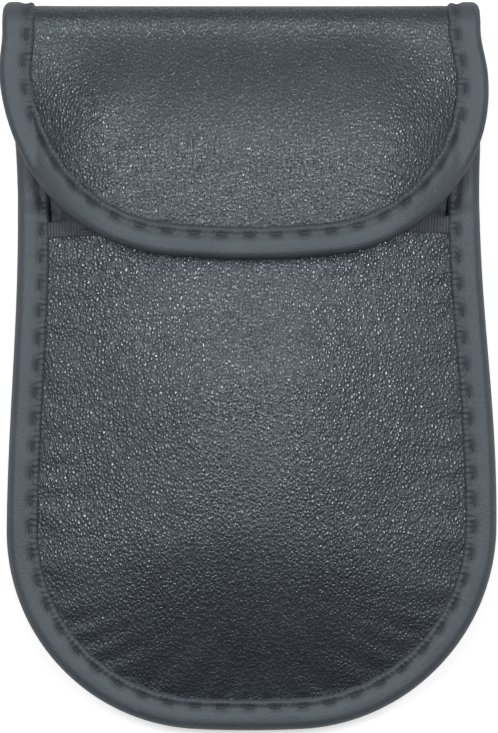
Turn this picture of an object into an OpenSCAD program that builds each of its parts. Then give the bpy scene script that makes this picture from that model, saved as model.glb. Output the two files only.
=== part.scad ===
// Soft key pouch with a shielded pocket at the back, a plain pocket in front and a fold-over flap.
// It lies on its back: +Z leaves the front, +Y runs towards the fold and +X is to the right.
// The origin is on the surface that the pouch lies on, under the middle of its outline.

/* [Outline] */
// Length from the bottom edge to the outside of the fold
length = 140; // [126:1:160]
// Width across the belly
belly_w = 94.4; // [90:0.2:106]
// Width across the waist, just under the flap
waist_w = 89; // [84:0.5:93]
// Width at the fold
fold_w = 91.6; // [88:0.2:94]
// Height of the widest part of the belly above the bottom edge
belly_rise = 39; // [35:0.5:43]
// Height of the waist above the bottom edge
waist_rise = 102; // [92:1:106]
// Radius of the shallow curve along the bottom edge
bottom_round = 200; // [140:5:300]
// Height of the front pocket's mouth above the bottom edge
mouth_rise = 98.3; // [90:0.1:100]

/* [Flap] */
// Width of the flap
flap_w = 93.6; // [90:0.2:100]
// Length of the flap, from the outside of the fold to its tip
flap_len = 49.6; // [47:0.2:54]
// Height of the flap's full width above its tip
flap_rise = 35; // [31:0.5:37]
// Radius of the shallow curve along the flap's tip
flap_round = 155; // [120:5:250]
// Distance over which the flap rises from the fold to its full height
flap_climb = 14; // [12:0.5:15]
// Clear gap between the stitches of the flap's tip and those of the ribbon under it
flap_gap = 0.3; // [0.2:0.05:1.5]

/* [Thickness] */
// How far the back bulges below its bound edge
back_bulge = 3; // [2.4:0.1:4]
// Clear gap inside the shielded pocket
shield_gap = 4.6; // [4.4:0.1:7]
// Clear gap inside the front pocket
front_gap = 5; // [4.8:0.1:7]
// Height of the fold, over the leatherette
fold_h = 8.6; // [8:0.1:10]
// Distance from the binding over which the walls reach their full height
swell_reach = 18; // [15:0.5:18]

/* [Layers] */
// Thickness of the leatherette
skin_t = 1; // [0.8:0.05:1.2]
// Thickness of the padding behind the leatherette
padding_t = 0.7; // [0.5:0.05:0.9]
// Thickness of the shielding layer
shield_t = 0.2; // [0.15:0.05:0.3]
// Thickness of the silver lining
lining_t = 0.3; // [0.2:0.05:0.4]
// Thickness of the divider's woven cloth
cloth_t = 0.9; // [0.7:0.05:1.1]

/* [Edges and closure] */
// Width of the binding tape over the edges
tape_w = 6.2; // [5.6:0.1:7]
// Thickness of the binding tape
tape_t = 0.6; // [0.4:0.05:0.7]
// Width of the ribbon over each pocket's mouth
ribbon_w = 2.8; // [2.4:0.1:3.4]
// Thickness of that ribbon
ribbon_t = 0.5; // [0.3:0.05:0.6]
// Width of the hook and loop strips
strip_w = 40; // [30:0.5:40]
// Height of the hook and loop strips
strip_h = 14; // [12:0.5:14]
// Thickness of each strip, pile included
strip_t = 1.6; // [1.2:0.1:1.8]
// Gap between the two strips when the flap is shut
strip_gap = 0.3; // [0.3:0.05:0.5]

/* [Stitching] */
// Distance from one stitch to the next
stitch_pitch = 5.2; // [4:0.1:7]
// Length of a stitch
stitch_len = 3.4; // [2.5:0.1:3.8]
// Distance of the stitches from the binding's inner edge
stitch_margin = 1.7; // [1.4:0.1:2.2]
// Radius of the thread
thread_r = 0.25; // [0.2:0.05:0.3]
// How much of the thread stands out of the tape
thread_lift = 0.15; // [0.05:0.05:0.15]

/* [Hidden] */
$fn = 64;

// Gap between the pieces on either side of a hinge line
hinge_gap = 0.3;
// Length over which the binding steps down where a layer ends under it
step_len = 0.8;
// Length over which the divider climbs towards the flap, under the flap
divider_climb = 9;
// Distance of the strips' stitches from the strips' edges
strip_margin = 1.5;
// Clear space between the loop strip and the ribbon above it
strip_space = 1;
// Thickness at which a ribbon's inner leg starts beside the binding
ribbon_end_t = 0.05;
// Length of a stitch round the fold, as a share of the others
fold_stitch_share = 0.6;
// Angles round the fold at which the stitches of its ends lie
fold_stitch_angles = [-50, 0, 50];
// Sides of a stitch's thread
thread_sides = 8;
// Rows of the body's walls and of the flap's along each straight side
side_rows = 5;
flap_rows = 2;
// Steps round each corner of the body and of the flap
body_steps = 9;
flap_steps = 12;
// Shares of the way from the binding's inner edge to the middle line where the walls have rings
ring_shares = [0, 0.12, 0.24, 0.36, 0.5, 1];
// How far the middle line runs past the corners' centres, as a share of their radius, at the corners
// and at the tip
middle_share = 0.35;
tip_middle_share = 0.42;

// Colours
skin_colour = "#4b5157";
tape_colour = "#585d62";
ribbon_colour = "#202225";
cloth_colour = "#2b2d31";
padding_colour = "#3a3a3c";
shield_colour = "#9a8f80";
lining_colour = "#b9bdc2";
thread_colour = "#34383c";

// Total thickness of each wall
back_t = skin_t + padding_t + shield_t + lining_t;
divider_t = lining_t + shield_t + cloth_t;
front_t = lining_t + skin_t;

// Heights of the walls' undersides at the bound edge
back_edge_z = back_bulge;
divider_edge_z = back_edge_z + back_t;
front_edge_z = divider_edge_z + divider_t;
// Heights of the walls' undersides in the middle
divider_mid_z = back_t + shield_gap;
front_mid_z = divider_mid_z + divider_t + front_gap;

// The fold is half a tube between the back wall's top edge and the flap
fold_r = fold_h / 2;
fold_y = length / 2 - fold_r - tape_t;
fold_z = back_edge_z + fold_r;
fold_edge_y = fold_y - hinge_gap;

// Heights of the flap's underside at its sides and in its middle
flap_edge_z = back_edge_z + fold_h - back_t;
flap_mid_z = front_mid_z + front_t + ribbon_t + 2 * thread_lift + flap_gap + tape_t;

// Both strips lie where the flap is level, and the divider climbs to meet them
strip_top_y = fold_edge_y - flap_climb - hinge_gap;
strip_y = strip_top_y - strip_h / 2;
loop_z = flap_mid_z - 2 * strip_t - strip_gap;
divider_high_z = loop_z - divider_t;
divider_top_y = strip_top_y + strip_space + ribbon_w;
climb_end_y = strip_top_y - strip_h;

mouth_y = mouth_rise - length / 2;
stitch_inset = tape_w - stitch_margin;

// An outline is a tongue that points down: its tip, the rise of its corners' centres above the tip,
// its half width there, the radius of its tip, then the half width and place of its waist,
// and its half width at the fold
TIP = 0;
RISE = 1;
HALF = 2;
ROUND = 3;
WAIST = 4;
WAIST_Y = 5;
FOLD = 6;
body = [-length / 2, belly_rise, belly_w / 2, bottom_round, waist_w / 2, waist_rise - length / 2, fold_w / 2];
flap = [
  length / 2 - flap_len, flap_rise, flap_w / 2, flap_round,
  flap_w / 2, length / 2 - flap_len + flap_rise + hinge_gap, fold_w / 2
];

// Helpers for blending
function unit(t) = min(max(t, 0), 1);
function mix(a, b, t) = a + (b - a) * t;
function ease(t) = (1 - cos(180 * unit(t))) / 2;
function swell(t) = sin(90 * unit(t));
function arc_len(r, angle) = r * angle * PI / 180;

// Geometry of an outline: the corners' centres and radius, and the tip's centre and half angle
function corner_y(o) = o[TIP] + o[RISE];
function corner_r(o) =
  (2 * o[ROUND] * o[RISE] - o[RISE] * o[RISE] - o[HALF] * o[HALF]) / (2 * (o[ROUND] - o[HALF]));
function corner_x(o) = o[HALF] - corner_r(o);
function round_y(o) = o[TIP] + o[ROUND];
function round_angle(o) = atan2(corner_x(o), o[ROUND] - o[RISE]);

// Half width of an outline above its corners' centres
function half_at(o, y) =
  y <= o[WAIST_Y]
    ? mix(o[HALF], o[WAIST], ease((y - corner_y(o)) / (o[WAIST_Y] - corner_y(o))))
    : mix(o[WAIST], o[FOLD], ease((y - o[WAIST_Y]) / (fold_edge_y - o[WAIST_Y])));

// Distance of a point inwards from the body's outline
function body_inset(x, y) =
  y >= corner_y(body) ? half_at(body, y) - abs(x)
  : abs(x) * (body[ROUND] - body[RISE]) < corner_x(body) * (round_y(body) - y)
    ? body[ROUND] - norm([x, round_y(body) - y])
    : corner_r(body) - norm([abs(x) - corner_x(body), corner_y(body) - y]);

// Share of its full height that a wall has at a point, from the binding inwards
function body_swell(x, y) = swell((body_inset(x, y) - tape_w) / swell_reach);

// Undersides of the four walls
function back_z(x, y) = back_bulge * (1 - body_swell(x, y) * swell((fold_edge_y - y) / swell_reach));
function divider_z(x, y) =
  let (high = ease((y - climb_end_y + divider_climb) / divider_climb))
  mix(divider_edge_z, mix(divider_mid_z, divider_high_z, high), body_swell(x, y));
function front_z(x, y) = mix(front_edge_z, front_mid_z, body_swell(x, y));
function flap_z(x, y) =
  let (across = swell((flap[HALF] - tape_w - abs(x)) / swell_reach))
  mix(flap_edge_z, flap_mid_z, across * swell((fold_edge_y - y) / flap_climb));

// Top of the layers that the body's binding holds at height y
function held_z(y) =
  y <= mouth_y ? front_edge_z + front_t : y <= divider_top_y ? front_edge_z : divider_edge_z;

// A station is a place along an outline: its point, its inward direction and the height of its
// place on the middle line. Stations run from the right-hand top down and up to the left-hand top.
function side_station(o, y) = [half_at(o, y), y, -1, 0, y];
function corner_station(o, a) = [
  corner_x(o) + corner_r(o) * sin(a), corner_y(o) - corner_r(o) * cos(a), -sin(a), cos(a),
  corner_y(o) - middle_share * corner_r(o) * cos(a)
];
function tip_station(o) = [0, o[TIP], 0, 1, corner_y(o) - tip_middle_share * corner_r(o)];
function left_station(s) = [-s[0], s[1], -s[2], s[3], s[4]];
function stations(o, side_ys, steps) =
  let (
    right = concat(
      [for (y = side_ys) side_station(o, y)],
      [for (i = [0:steps]) corner_station(o, mix(90, round_angle(o), i / steps))]
    )
  )
  concat(right, [tip_station(o)], [for (i = [len(right) - 1:-1:0]) left_station(right[i])]);

// Rows along the body's straight sides, which all its walls and its binding share, so that they fit:
// above each mouth one where the binding steps down, one at the mouth and one at the ribbon's hem
body_rows = concat(
  [fold_edge_y, divider_top_y + step_len, divider_top_y, divider_top_y - ribbon_w],
  [mouth_y + step_len, mouth_y],
  [for (i = [0:side_rows - 1]) mix(mouth_y - ribbon_w, corner_y(body), i / side_rows)]
);
function rows_from(top_y) = [for (y = body_rows) if (y <= top_y) y];

back_stations = stations(body, body_rows, body_steps);
divider_stations = stations(body, rows_from(divider_top_y), body_steps);
front_stations = stations(body, rows_from(mouth_y), body_steps);
flap_side_ys = [for (i = [0:flap_rows - 1]) mix(fold_edge_y, corner_y(flap), i / flap_rows)];
flap_stations = stations(flap, flap_side_ys, flap_steps);

// Places on a station: a distance in from the edge, and a ring of the walls' mesh
function inset_point(s, d) = [s[0] + s[2] * d, s[1] + s[3] * d];
function ring_point(s, k) =
  k == 0 ? inset_point(s, tape_t) : mix(inset_point(s, tape_w), [0, s[4]], ring_shares[k - 1]);

// A sheet inside an outline, between two heights that are functions of the place
module sheet(st, low, high) {
  last = len(st) - 1;
  inner = len(ring_shares);
  plan = concat(
    [for (k = [0:inner - 1], s = [0:last]) ring_point(st[s], k)],
    [for (s = [0:last / 2]) ring_point(st[s], inner)]
  );
  count = len(plan);
  function at(k, s) = k * (last + 1) + (k < inner ? s : min(s, last - s));
  top_faces = [
    for (k = [0:inner - 1], s = [0:last - 1])
      each s < last / 2
        ? [[at(k, s), at(k, s + 1), at(k + 1, s + 1)], [at(k, s), at(k + 1, s + 1), at(k + 1, s)]]
        : [[at(k, s), at(k, s + 1), at(k + 1, s)], [at(k, s + 1), at(k + 1, s + 1), at(k + 1, s)]]
  ];
  low_faces = [for (f = top_faces) [f[2] + count, f[1] + count, f[0] + count]];
  rim = concat(
    [for (s = [0:last - 1]) [at(0, s + 1), at(0, s)]],
    [for (k = [0:inner - 1]) [at(k, 0), at(k + 1, 0)]],
    [for (k = [0:inner - 1]) [at(k + 1, last), at(k, last)]]
  );
  rim_faces = [
    for (e = rim) each [[e[0], e[1], e[1] + count], [e[0], e[1] + count, e[0] + count]]
  ];
  polyhedron(
    points = concat(
      [for (p = plan) [p[0], p[1], high(p[0], p[1])]],
      [for (p = plan) [p[0], p[1], low(p[0], p[1])]]
    ),
    faces = concat(top_faces, low_faces, rim_faces)
  );
}

// A profile swept through a list of sections, each a loop of points, closed at both ends by fans.
// Its faces are halved as the sheet's are, so that the two fit: the last point's side lies on top of
// the sheet, the side low_side back from it lies underneath, and both turn over at the middle section.
low_side = 3;
module sweep(sections, fans) {
  size = len(sections[0]);
  last = len(sections) - 1;
  function at(i, j) = i * size + j % size;
  sides = [
    for (i = [0:last - 1], j = [0:size - 1])
      each (j == size - low_side) == (i < last / 2)
        ? [[at(i, j), at(i, j + 1), at(i + 1, j)], [at(i, j + 1), at(i + 1, j + 1), at(i + 1, j)]]
        : [[at(i, j), at(i, j + 1), at(i + 1, j + 1)], [at(i, j), at(i + 1, j + 1), at(i + 1, j)]]
  ];
  end_faces = [for (f = fans, i = [1:len(f) - 2]) [f[0], f[i], f[i + 1]]];
  polyhedron(
    points = [for (s = sections) each s],
    faces = concat(
      sides,
      [for (f = end_faces) [f[2], f[1], f[0]]],
      [for (f = end_faces) [at(last, f[0]), at(last, f[1]), at(last, f[2])]]
    )
  );
}

// The tape's section round an edge: distance in from the edge, side of the layers, and height off them
tape_shoulder = 1.2;
tape_lip = 0.6 * tape_t;
tape_nose = 0.3 * tape_t;
tape_bend = 0.75 * tape_w;
tape_profile = [
  [tape_w, 1, 0], [tape_w, 1, tape_lip], [tape_bend, 1, tape_t], [tape_shoulder, 1, tape_t],
  [0, 1, tape_nose], [0, -1, tape_nose],
  [tape_shoulder, -1, tape_t], [tape_bend, -1, tape_t], [tape_w, -1, tape_lip], [tape_w, -1, 0],
  [tape_t, -1, 0], [tape_t, 1, 0]
];
tape_fans = [[11, 0, 1, 2, 3, 4], [11, 4, 5, 10], [10, 5, 6, 7, 8, 9]];

// Height of the layers under the tape, straight from their edge to the tape's inner edge
function tape_base(s, d, height) =
  let (edge = inset_point(s, tape_t), inner = inset_point(s, tape_w))
  mix(height(edge[0], edge[1]), height(inner[0], inner[1]), (d - tape_t) / (tape_w - tape_t));

module binding(st, low, high) {
  sweep(
    [
      for (s = st) [
        for (p = tape_profile)
          let (xy = inset_point(s, p[0]))
          [xy[0], xy[1], tape_base(s, p[0], p[1] > 0 ? high : low) + p[1] * p[2]]
      ]
    ],
    tape_fans
  );
}

// A ribbon folded over a wall's top edge, from binding to binding
module mouth_edge(st, low, high) {
  last = len(st) - 1;
  inner = len(ring_shares);
  across = concat(
    [for (k = [1:inner]) [ring_point(st[last], k), ring_point(st[last - 1], k)]],
    [for (k = [inner - 1:-1:1]) [ring_point(st[0], k), ring_point(st[1], k)]]
  );
  sweep(
    [
      for (i = [0:len(across) - 1])
        let (
          edge = across[i][0],
          hem = across[i][1],
          edge_low = low(edge[0], edge[1]),
          edge_high = high(edge[0], edge[1]),
          hem_low = low(hem[0], hem[1]),
          hem_high = high(hem[0], hem[1]),
          leg_t = i == 0 || i == len(across) - 1 ? ribbon_end_t : ribbon_t
        )
        [
          [hem[0], hem[1], hem_high],
          [hem[0], hem[1], hem_high + ribbon_t],
          [edge[0], edge[1], edge_high + ribbon_t],
          [edge[0], edge[1] + ribbon_t, edge_high],
          [edge[0], edge[1] + ribbon_t, edge_low],
          [edge[0], edge[1], edge_low - leg_t],
          [hem[0], hem[1], hem_low - leg_t],
          [hem[0], hem[1], hem_low],
          [edge[0], edge[1], edge_low],
          [edge[0], edge[1], edge_high]
        ]
    ],
    [[9, 0, 1, 2], [9, 2, 3, 4, 8], [8, 4, 5, 6, 7]]
  );
}

// Half a tube round the fold, w long
module fold_layer(outer_r, inner_r, w) {
  translate([0, fold_y, fold_z])
    rotate([90, 0, 90])
      linear_extrude(w, center = true)
        difference() {
          circle(outer_r);
          circle(inner_r);
          translate([-2 * outer_r, -outer_r * 2]) square([2 * outer_r, outer_r * 4]);
        }
}

// The tape round one end of the fold, on the side that has the given sign
module fold_binding(side) {
  translate([0, fold_y, fold_z])
    mirror([side < 0 ? 1 : 0, 0, 0])
      rotate([0, 90, 0])
        rotate_extrude(angle = 180, start = 0)
          polygon([
            for (p = tape_profile)
              [p[1] > 0 ? fold_r + p[2] : fold_r - back_t - p[2], fold_w / 2 - p[0]]
          ]);
}

// A length of thread from a to b
module thread(a, b) {
  way = b - a;
  translate(a)
    rotate([0, acos(way[2] / norm(way)), atan2(way[1], way[0])])
      cylinder(r = thread_r, h = norm(way), $fn = thread_sides);
}

// Station beside the point of a seam that runs d inside an outline, s along the seam from the tip
function seam_station(o, d, s) =
  let (
    way = abs(s),
    tip_len = arc_len(o[ROUND] - d, round_angle(o)),
    corner_len = arc_len(corner_r(o) - d, 90 - round_angle(o)),
    tip_a = round_angle(o) * way / tip_len,
    right =
      way < tip_len
        ? [o[ROUND] * sin(tip_a), round_y(o) - o[ROUND] * cos(tip_a), -sin(tip_a), cos(tip_a), 0]
      : way < tip_len + corner_len
        ? corner_station(o, mix(round_angle(o), 90, (way - tip_len) / corner_len))
        : side_station(o, corner_y(o) + way - tip_len - corner_len)
  )
  s < 0 ? left_station(right) : right;
function seam_len(o, d) =
  arc_len(o[ROUND] - d, round_angle(o)) + arc_len(corner_r(o) - d, 90 - round_angle(o))
  + fold_edge_y - corner_y(o);

// Stitches on both faces of a binding
module binding_stitches(o, low, high) {
  count = floor((seam_len(o, stitch_inset) - stitch_len) / stitch_pitch);
  lift = tape_t + thread_lift - thread_r;
  function stitch_end(s, height, rise) =
    let (st = seam_station(o, stitch_inset, s), xy = inset_point(st, stitch_inset))
    [xy[0], xy[1], tape_base(st, stitch_inset, height) + rise];
  for (i = [-count:count]) {
    from = i * stitch_pitch - stitch_len / 2;
    to = i * stitch_pitch + stitch_len / 2;
    thread(stitch_end(from, high, lift), stitch_end(to, high, lift));
    thread(stitch_end(from, low, -lift), stitch_end(to, low, -lift));
  }
}

// Stitches along a mouth's ribbon, on its outer face
module ribbon_stitches(top_y, high) {
  y = top_y - ribbon_w / 2;
  reach = half_at(body, y) - tape_w - stitch_pitch;
  count = floor(reach / stitch_pitch);
  lift = ribbon_t + thread_lift - thread_r;
  for (i = [-count:count]) {
    x = i * stitch_pitch;
    from = x - stitch_len / 2;
    to = x + stitch_len / 2;
    thread([from, y, high(from, y) + lift], [to, y, high(to, y) + lift]);
  }
}

// One of the two closure strips, with its underside at z
module strip(z) {
  translate([-strip_w / 2, strip_y - strip_h / 2, z]) cube([strip_w, strip_h, strip_t]);
}

// Two rows of stitches in a strip, in the face that is at z, which looks up or down by its sign
module strip_stitches(z, side) {
  count = floor((strip_w / 2 - strip_margin - stitch_len / 2) / stitch_pitch);
  for (row = [-1, 1], i = [-count:count]) {
    y = strip_y + row * (strip_h / 2 - strip_margin);
    x = i * stitch_pitch;
    depth = z - side * thread_r;
    thread([x - stitch_len / 2, y, depth], [x + stitch_len / 2, y, depth]);
  }
}

// Back wall
module back_panel() {
  color(skin_colour)
    sheet(back_stations, function(x, y) back_z(x, y), function(x, y) back_z(x, y) + skin_t);
}

module back_padding() {
  low = skin_t;
  high = low + padding_t;
  color(padding_colour)
    sheet(back_stations, function(x, y) back_z(x, y) + low, function(x, y) back_z(x, y) + high);
}

module back_shield() {
  low = skin_t + padding_t;
  high = low + shield_t;
  color(shield_colour)
    sheet(back_stations, function(x, y) back_z(x, y) + low, function(x, y) back_z(x, y) + high);
}

module back_lining() {
  low = back_t - lining_t;
  color(lining_colour)
    sheet(back_stations, function(x, y) back_z(x, y) + low, function(x, y) back_z(x, y) + back_t);
}

// Divider between the two pockets
module divider_lining() {
  color(lining_colour)
    sheet(divider_stations, function(x, y) divider_z(x, y), function(x, y) divider_z(x, y) + lining_t);
}

module divider_shield() {
  low = lining_t;
  high = low + shield_t;
  color(shield_colour)
    sheet(divider_stations, function(x, y) divider_z(x, y) + low, function(x, y) divider_z(x, y) + high);
}

module divider_cloth() {
  low = lining_t + shield_t;
  color(cloth_colour)
    sheet(divider_stations, function(x, y) divider_z(x, y) + low, function(x, y) divider_z(x, y) + divider_t);
}

module divider_ribbon() {
  color(ribbon_colour)
    mouth_edge(divider_stations, function(x, y) divider_z(x, y), function(x, y) divider_z(x, y) + divider_t);
}

module divider_ribbon_stitches() {
  color(thread_colour)
    ribbon_stitches(divider_top_y, function(x, y) divider_z(x, y) + divider_t);
}

module loop_strip() {
  color(cloth_colour) strip(loop_z);
}

module loop_strip_stitches() {
  color(thread_colour) strip_stitches(loop_z + strip_t, 1);
}

// Front wall
module front_lining() {
  color(cloth_colour)
    sheet(front_stations, function(x, y) front_z(x, y), function(x, y) front_z(x, y) + lining_t);
}

module front_panel() {
  color(skin_colour)
    sheet(front_stations, function(x, y) front_z(x, y) + lining_t, function(x, y) front_z(x, y) + front_t);
}

module mouth_ribbon() {
  color(ribbon_colour)
    mouth_edge(front_stations, function(x, y) front_z(x, y), function(x, y) front_z(x, y) + front_t);
}

module mouth_ribbon_stitches() {
  color(thread_colour)
    ribbon_stitches(mouth_y, function(x, y) front_z(x, y) + front_t);
}

// Binding round the body's edge
module body_binding() {
  color(tape_colour)
    binding(back_stations, function(x, y) back_edge_z, function(x, y) held_z(y));
}

module body_binding_stitches() {
  color(thread_colour)
    binding_stitches(body, function(x, y) back_edge_z, function(x, y) held_z(y));
}

// Fold
module fold_panel() {
  color(skin_colour) fold_layer(fold_r, fold_r - skin_t, fold_w - 2 * tape_t);
}

module fold_padding() {
  outer_r = fold_r - skin_t;
  color(padding_colour) fold_layer(outer_r, outer_r - padding_t, fold_w - 2 * tape_t);
}

module fold_shield() {
  outer_r = fold_r - skin_t - padding_t;
  color(shield_colour) fold_layer(outer_r, outer_r - shield_t, fold_w - 2 * tape_t);
}

module fold_lining() {
  inner_r = fold_r - back_t;
  color(lining_colour) fold_layer(inner_r + lining_t, inner_r, fold_w - 2 * tape_t);
}

module fold_binding_left() {
  color(tape_colour) fold_binding(-1);
}

module fold_binding_right() {
  color(tape_colour) fold_binding(1);
}

module fold_binding_stitches() {
  seam_r = fold_r + tape_t + thread_lift - thread_r;
  half_angle = asin(fold_stitch_share * stitch_len / 2 / seam_r);
  color(thread_colour)
    for (side = [-1, 1], turn = fold_stitch_angles) {
      x = side * (fold_w / 2 - stitch_inset);
      thread(
        [x, fold_y + seam_r * cos(turn - half_angle), fold_z + seam_r * sin(turn - half_angle)],
        [x, fold_y + seam_r * cos(turn + half_angle), fold_z + seam_r * sin(turn + half_angle)]
      );
    }
}

// Flap
module flap_lining() {
  color(lining_colour)
    sheet(flap_stations, function(x, y) flap_z(x, y), function(x, y) flap_z(x, y) + lining_t);
}

module flap_shield() {
  low = lining_t;
  high = low + shield_t;
  color(shield_colour)
    sheet(flap_stations, function(x, y) flap_z(x, y) + low, function(x, y) flap_z(x, y) + high);
}

module flap_padding() {
  low = lining_t + shield_t;
  high = low + padding_t;
  color(padding_colour)
    sheet(flap_stations, function(x, y) flap_z(x, y) + low, function(x, y) flap_z(x, y) + high);
}

module flap_panel() {
  low = back_t - skin_t;
  color(skin_colour)
    sheet(flap_stations, function(x, y) flap_z(x, y) + low, function(x, y) flap_z(x, y) + back_t);
}

module flap_binding() {
  color(tape_colour)
    binding(flap_stations, function(x, y) flap_z(x, y), function(x, y) flap_z(x, y) + back_t);
}

module flap_binding_stitches() {
  color(thread_colour)
    binding_stitches(flap, function(x, y) flap_z(x, y), function(x, y) flap_z(x, y) + back_t);
}

module hook_strip() {
  color(cloth_colour) strip(flap_mid_z - strip_t);
}

module hook_strip_stitches() {
  color(thread_colour) strip_stitches(flap_mid_z - strip_t, -1);
}

back_panel();
back_padding();
back_shield();
back_lining();
divider_lining();
divider_shield();
divider_cloth();
divider_ribbon();
divider_ribbon_stitches();
loop_strip();
loop_strip_stitches();
front_lining();
front_panel();
mouth_ribbon();
mouth_ribbon_stitches();
body_binding();
body_binding_stitches();
fold_panel();
fold_padding();
fold_shield();
fold_lining();
fold_binding_left();
fold_binding_right();
fold_binding_stitches();
flap_panel();
flap_padding();
flap_shield();
flap_lining();
flap_binding();
flap_binding_stitches();
hook_strip();
hook_strip_stitches();
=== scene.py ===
"""Looks of the soft key pouch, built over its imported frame."""

import logging
import math
from collections.abc import Callable, Sequence
from dataclasses import dataclass, field
from enum import Enum

import bpy
import numpy as np
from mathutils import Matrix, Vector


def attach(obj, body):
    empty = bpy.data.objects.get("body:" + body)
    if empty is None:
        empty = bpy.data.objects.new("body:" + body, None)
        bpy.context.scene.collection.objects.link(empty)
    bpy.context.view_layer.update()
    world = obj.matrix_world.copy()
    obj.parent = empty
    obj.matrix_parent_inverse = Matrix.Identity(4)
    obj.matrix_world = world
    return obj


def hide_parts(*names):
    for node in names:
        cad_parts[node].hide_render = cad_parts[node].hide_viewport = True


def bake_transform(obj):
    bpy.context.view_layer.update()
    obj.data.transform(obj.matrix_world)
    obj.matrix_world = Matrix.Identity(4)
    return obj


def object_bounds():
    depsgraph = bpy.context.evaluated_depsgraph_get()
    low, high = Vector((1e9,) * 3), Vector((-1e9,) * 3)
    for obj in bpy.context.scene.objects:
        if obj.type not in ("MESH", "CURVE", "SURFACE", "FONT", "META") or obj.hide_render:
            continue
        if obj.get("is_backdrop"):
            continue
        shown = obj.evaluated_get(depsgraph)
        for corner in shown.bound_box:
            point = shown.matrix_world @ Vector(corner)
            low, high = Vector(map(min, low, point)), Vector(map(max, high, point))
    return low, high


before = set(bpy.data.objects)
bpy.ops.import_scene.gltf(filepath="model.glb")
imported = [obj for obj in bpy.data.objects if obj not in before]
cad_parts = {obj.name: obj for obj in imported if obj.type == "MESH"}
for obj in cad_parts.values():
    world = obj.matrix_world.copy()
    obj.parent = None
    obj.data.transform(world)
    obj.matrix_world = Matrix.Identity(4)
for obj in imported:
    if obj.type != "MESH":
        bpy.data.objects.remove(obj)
CAD_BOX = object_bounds()

logging.basicConfig(level=logging.INFO, format="%(message)s")
LOG = logging.getLogger("pouch")

Place = Callable[[np.ndarray, np.ndarray, np.ndarray], np.ndarray]
Profile = Callable[[np.ndarray], np.ndarray]
Colour = tuple[float, float, float, float]
Socket = bpy.types.NodeSocket

MM = 0.001
WHITE = (1.0, 1.0, 1.0, 1.0)
SPECK = (0.2, 0.21, 0.22, 1.0)


class Slot(Enum):
    """Material slots of the record."""

    LEATHERETTE = "leatherette"
    TAPE = "binding_tape"
    RIBBON = "ribbon"
    CLOTH = "woven_cloth"
    SILVER = "silver_lining"
    THREAD = "thread"
    PILE = "hook_and_loop"


class Follows(Enum):
    """How a piece moves: with one body, or, where it crosses one of the fold's two edges, with its
    place baked in and no body.
    """

    POUCH = "pouch"
    FLAP = "flap"
    BACK_EDGE = "pouch to fold"
    FLAP_EDGE = "fold to flap"


def unit(t: np.ndarray) -> np.ndarray:
    """Clamp to the range 0 to 1."""
    return np.clip(t, 0.0, 1.0)


def mix(a: np.ndarray, b: np.ndarray, t: np.ndarray) -> np.ndarray:
    """Blend from a to b."""
    return a + (b - a) * t


def ease(t: np.ndarray) -> np.ndarray:
    """Go from 0 to 1 with level ends."""
    return (1.0 - np.cos(np.pi * unit(t))) / 2.0


def swell(t: np.ndarray) -> np.ndarray:
    """Go from 0 to 1 with a steep start and a level end."""
    return np.sin(np.pi / 2.0 * unit(t))


def bump(t: np.ndarray, centre: float, width: float) -> np.ndarray:
    """Give a soft hump of height 1."""
    return np.exp(-(((t - centre) / width) ** 2))


@dataclass(frozen=True)
class Ripple:
    """Smooth uneven field: its height and wave length in millimetres, and its seed."""

    height: float
    length: float
    seed: float
    waves: int = 5
    seed_turn: float = 1.7
    wave_turn: float = 2.399
    seed_phase: float = 3.1
    wave_phase: float = 1.3
    first_pace: float = 0.7
    pace_step: float = 0.17
    spread: float = 3.2

    def at(self, a: np.ndarray, b: np.ndarray) -> np.ndarray:
        """Find the field's height.

        Args:
            a: First coordinate in millimetres.
            b: Second coordinate in millimetres.

        Returns:
            The height at each place.
        """
        total = np.zeros(np.broadcast(a, b).shape)
        for i in range(self.waves):
            turn = self.seed * self.seed_turn + i * self.wave_turn
            pace = 2.0 * np.pi / self.length * (self.first_pace + self.pace_step * i)
            phase = self.seed * self.seed_phase + i * self.wave_phase
            total = total + np.sin(pace * (a * math.cos(turn) + b * math.sin(turn)) + phase)
        return self.height * (total / self.spread)


@dataclass(frozen=True)
class Hump:
    """Soft hump on a wall, in millimetres, with its slant per millimetre along the wall."""

    height: float
    centre_x: float
    centre_v: float
    half_width: float
    half_length: float
    slant: float = 0.0

    def at(self, x: np.ndarray, v: np.ndarray) -> np.ndarray:
        """Height of the hump at each place."""
        across = bump(x - self.slant * v, self.centre_x, self.half_width)
        return self.height * across * bump(v, self.centre_v, self.half_length)


@dataclass(frozen=True)
class Arch:
    """Bow of the front pocket's mouth, in millimetres."""

    height: float = 0.9
    width: float = 86.0
    drop: float = 0.45
    tilt: float = 0.016
    start_y: float = 8.0
    reach: float = 20.0

    def at(self, x: np.ndarray, v: np.ndarray) -> np.ndarray:
        """How far each place is moved up."""
        bow = self.height * np.cos(np.pi * x / self.width) - self.drop + self.tilt * x
        return bow * unit((v - self.start_y) / self.reach) ** 2


@dataclass(frozen=True)
class Lean:
    """Small sideways set of the whole soft pouch, in millimetres."""

    belly: float = 0.85
    belly_y: float = -18.0
    belly_reach: float = 42.0
    top: float = 1.2
    top_y: float = 40.0
    top_reach: float = 27.0

    def at(self, y: np.ndarray) -> np.ndarray:
        """Shift to the right at each height."""
        belly = self.belly * bump(y, self.belly_y, self.belly_reach)
        return belly - self.top * ease((y - self.top_y) / self.top_reach)


LEAN = Lean()


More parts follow.
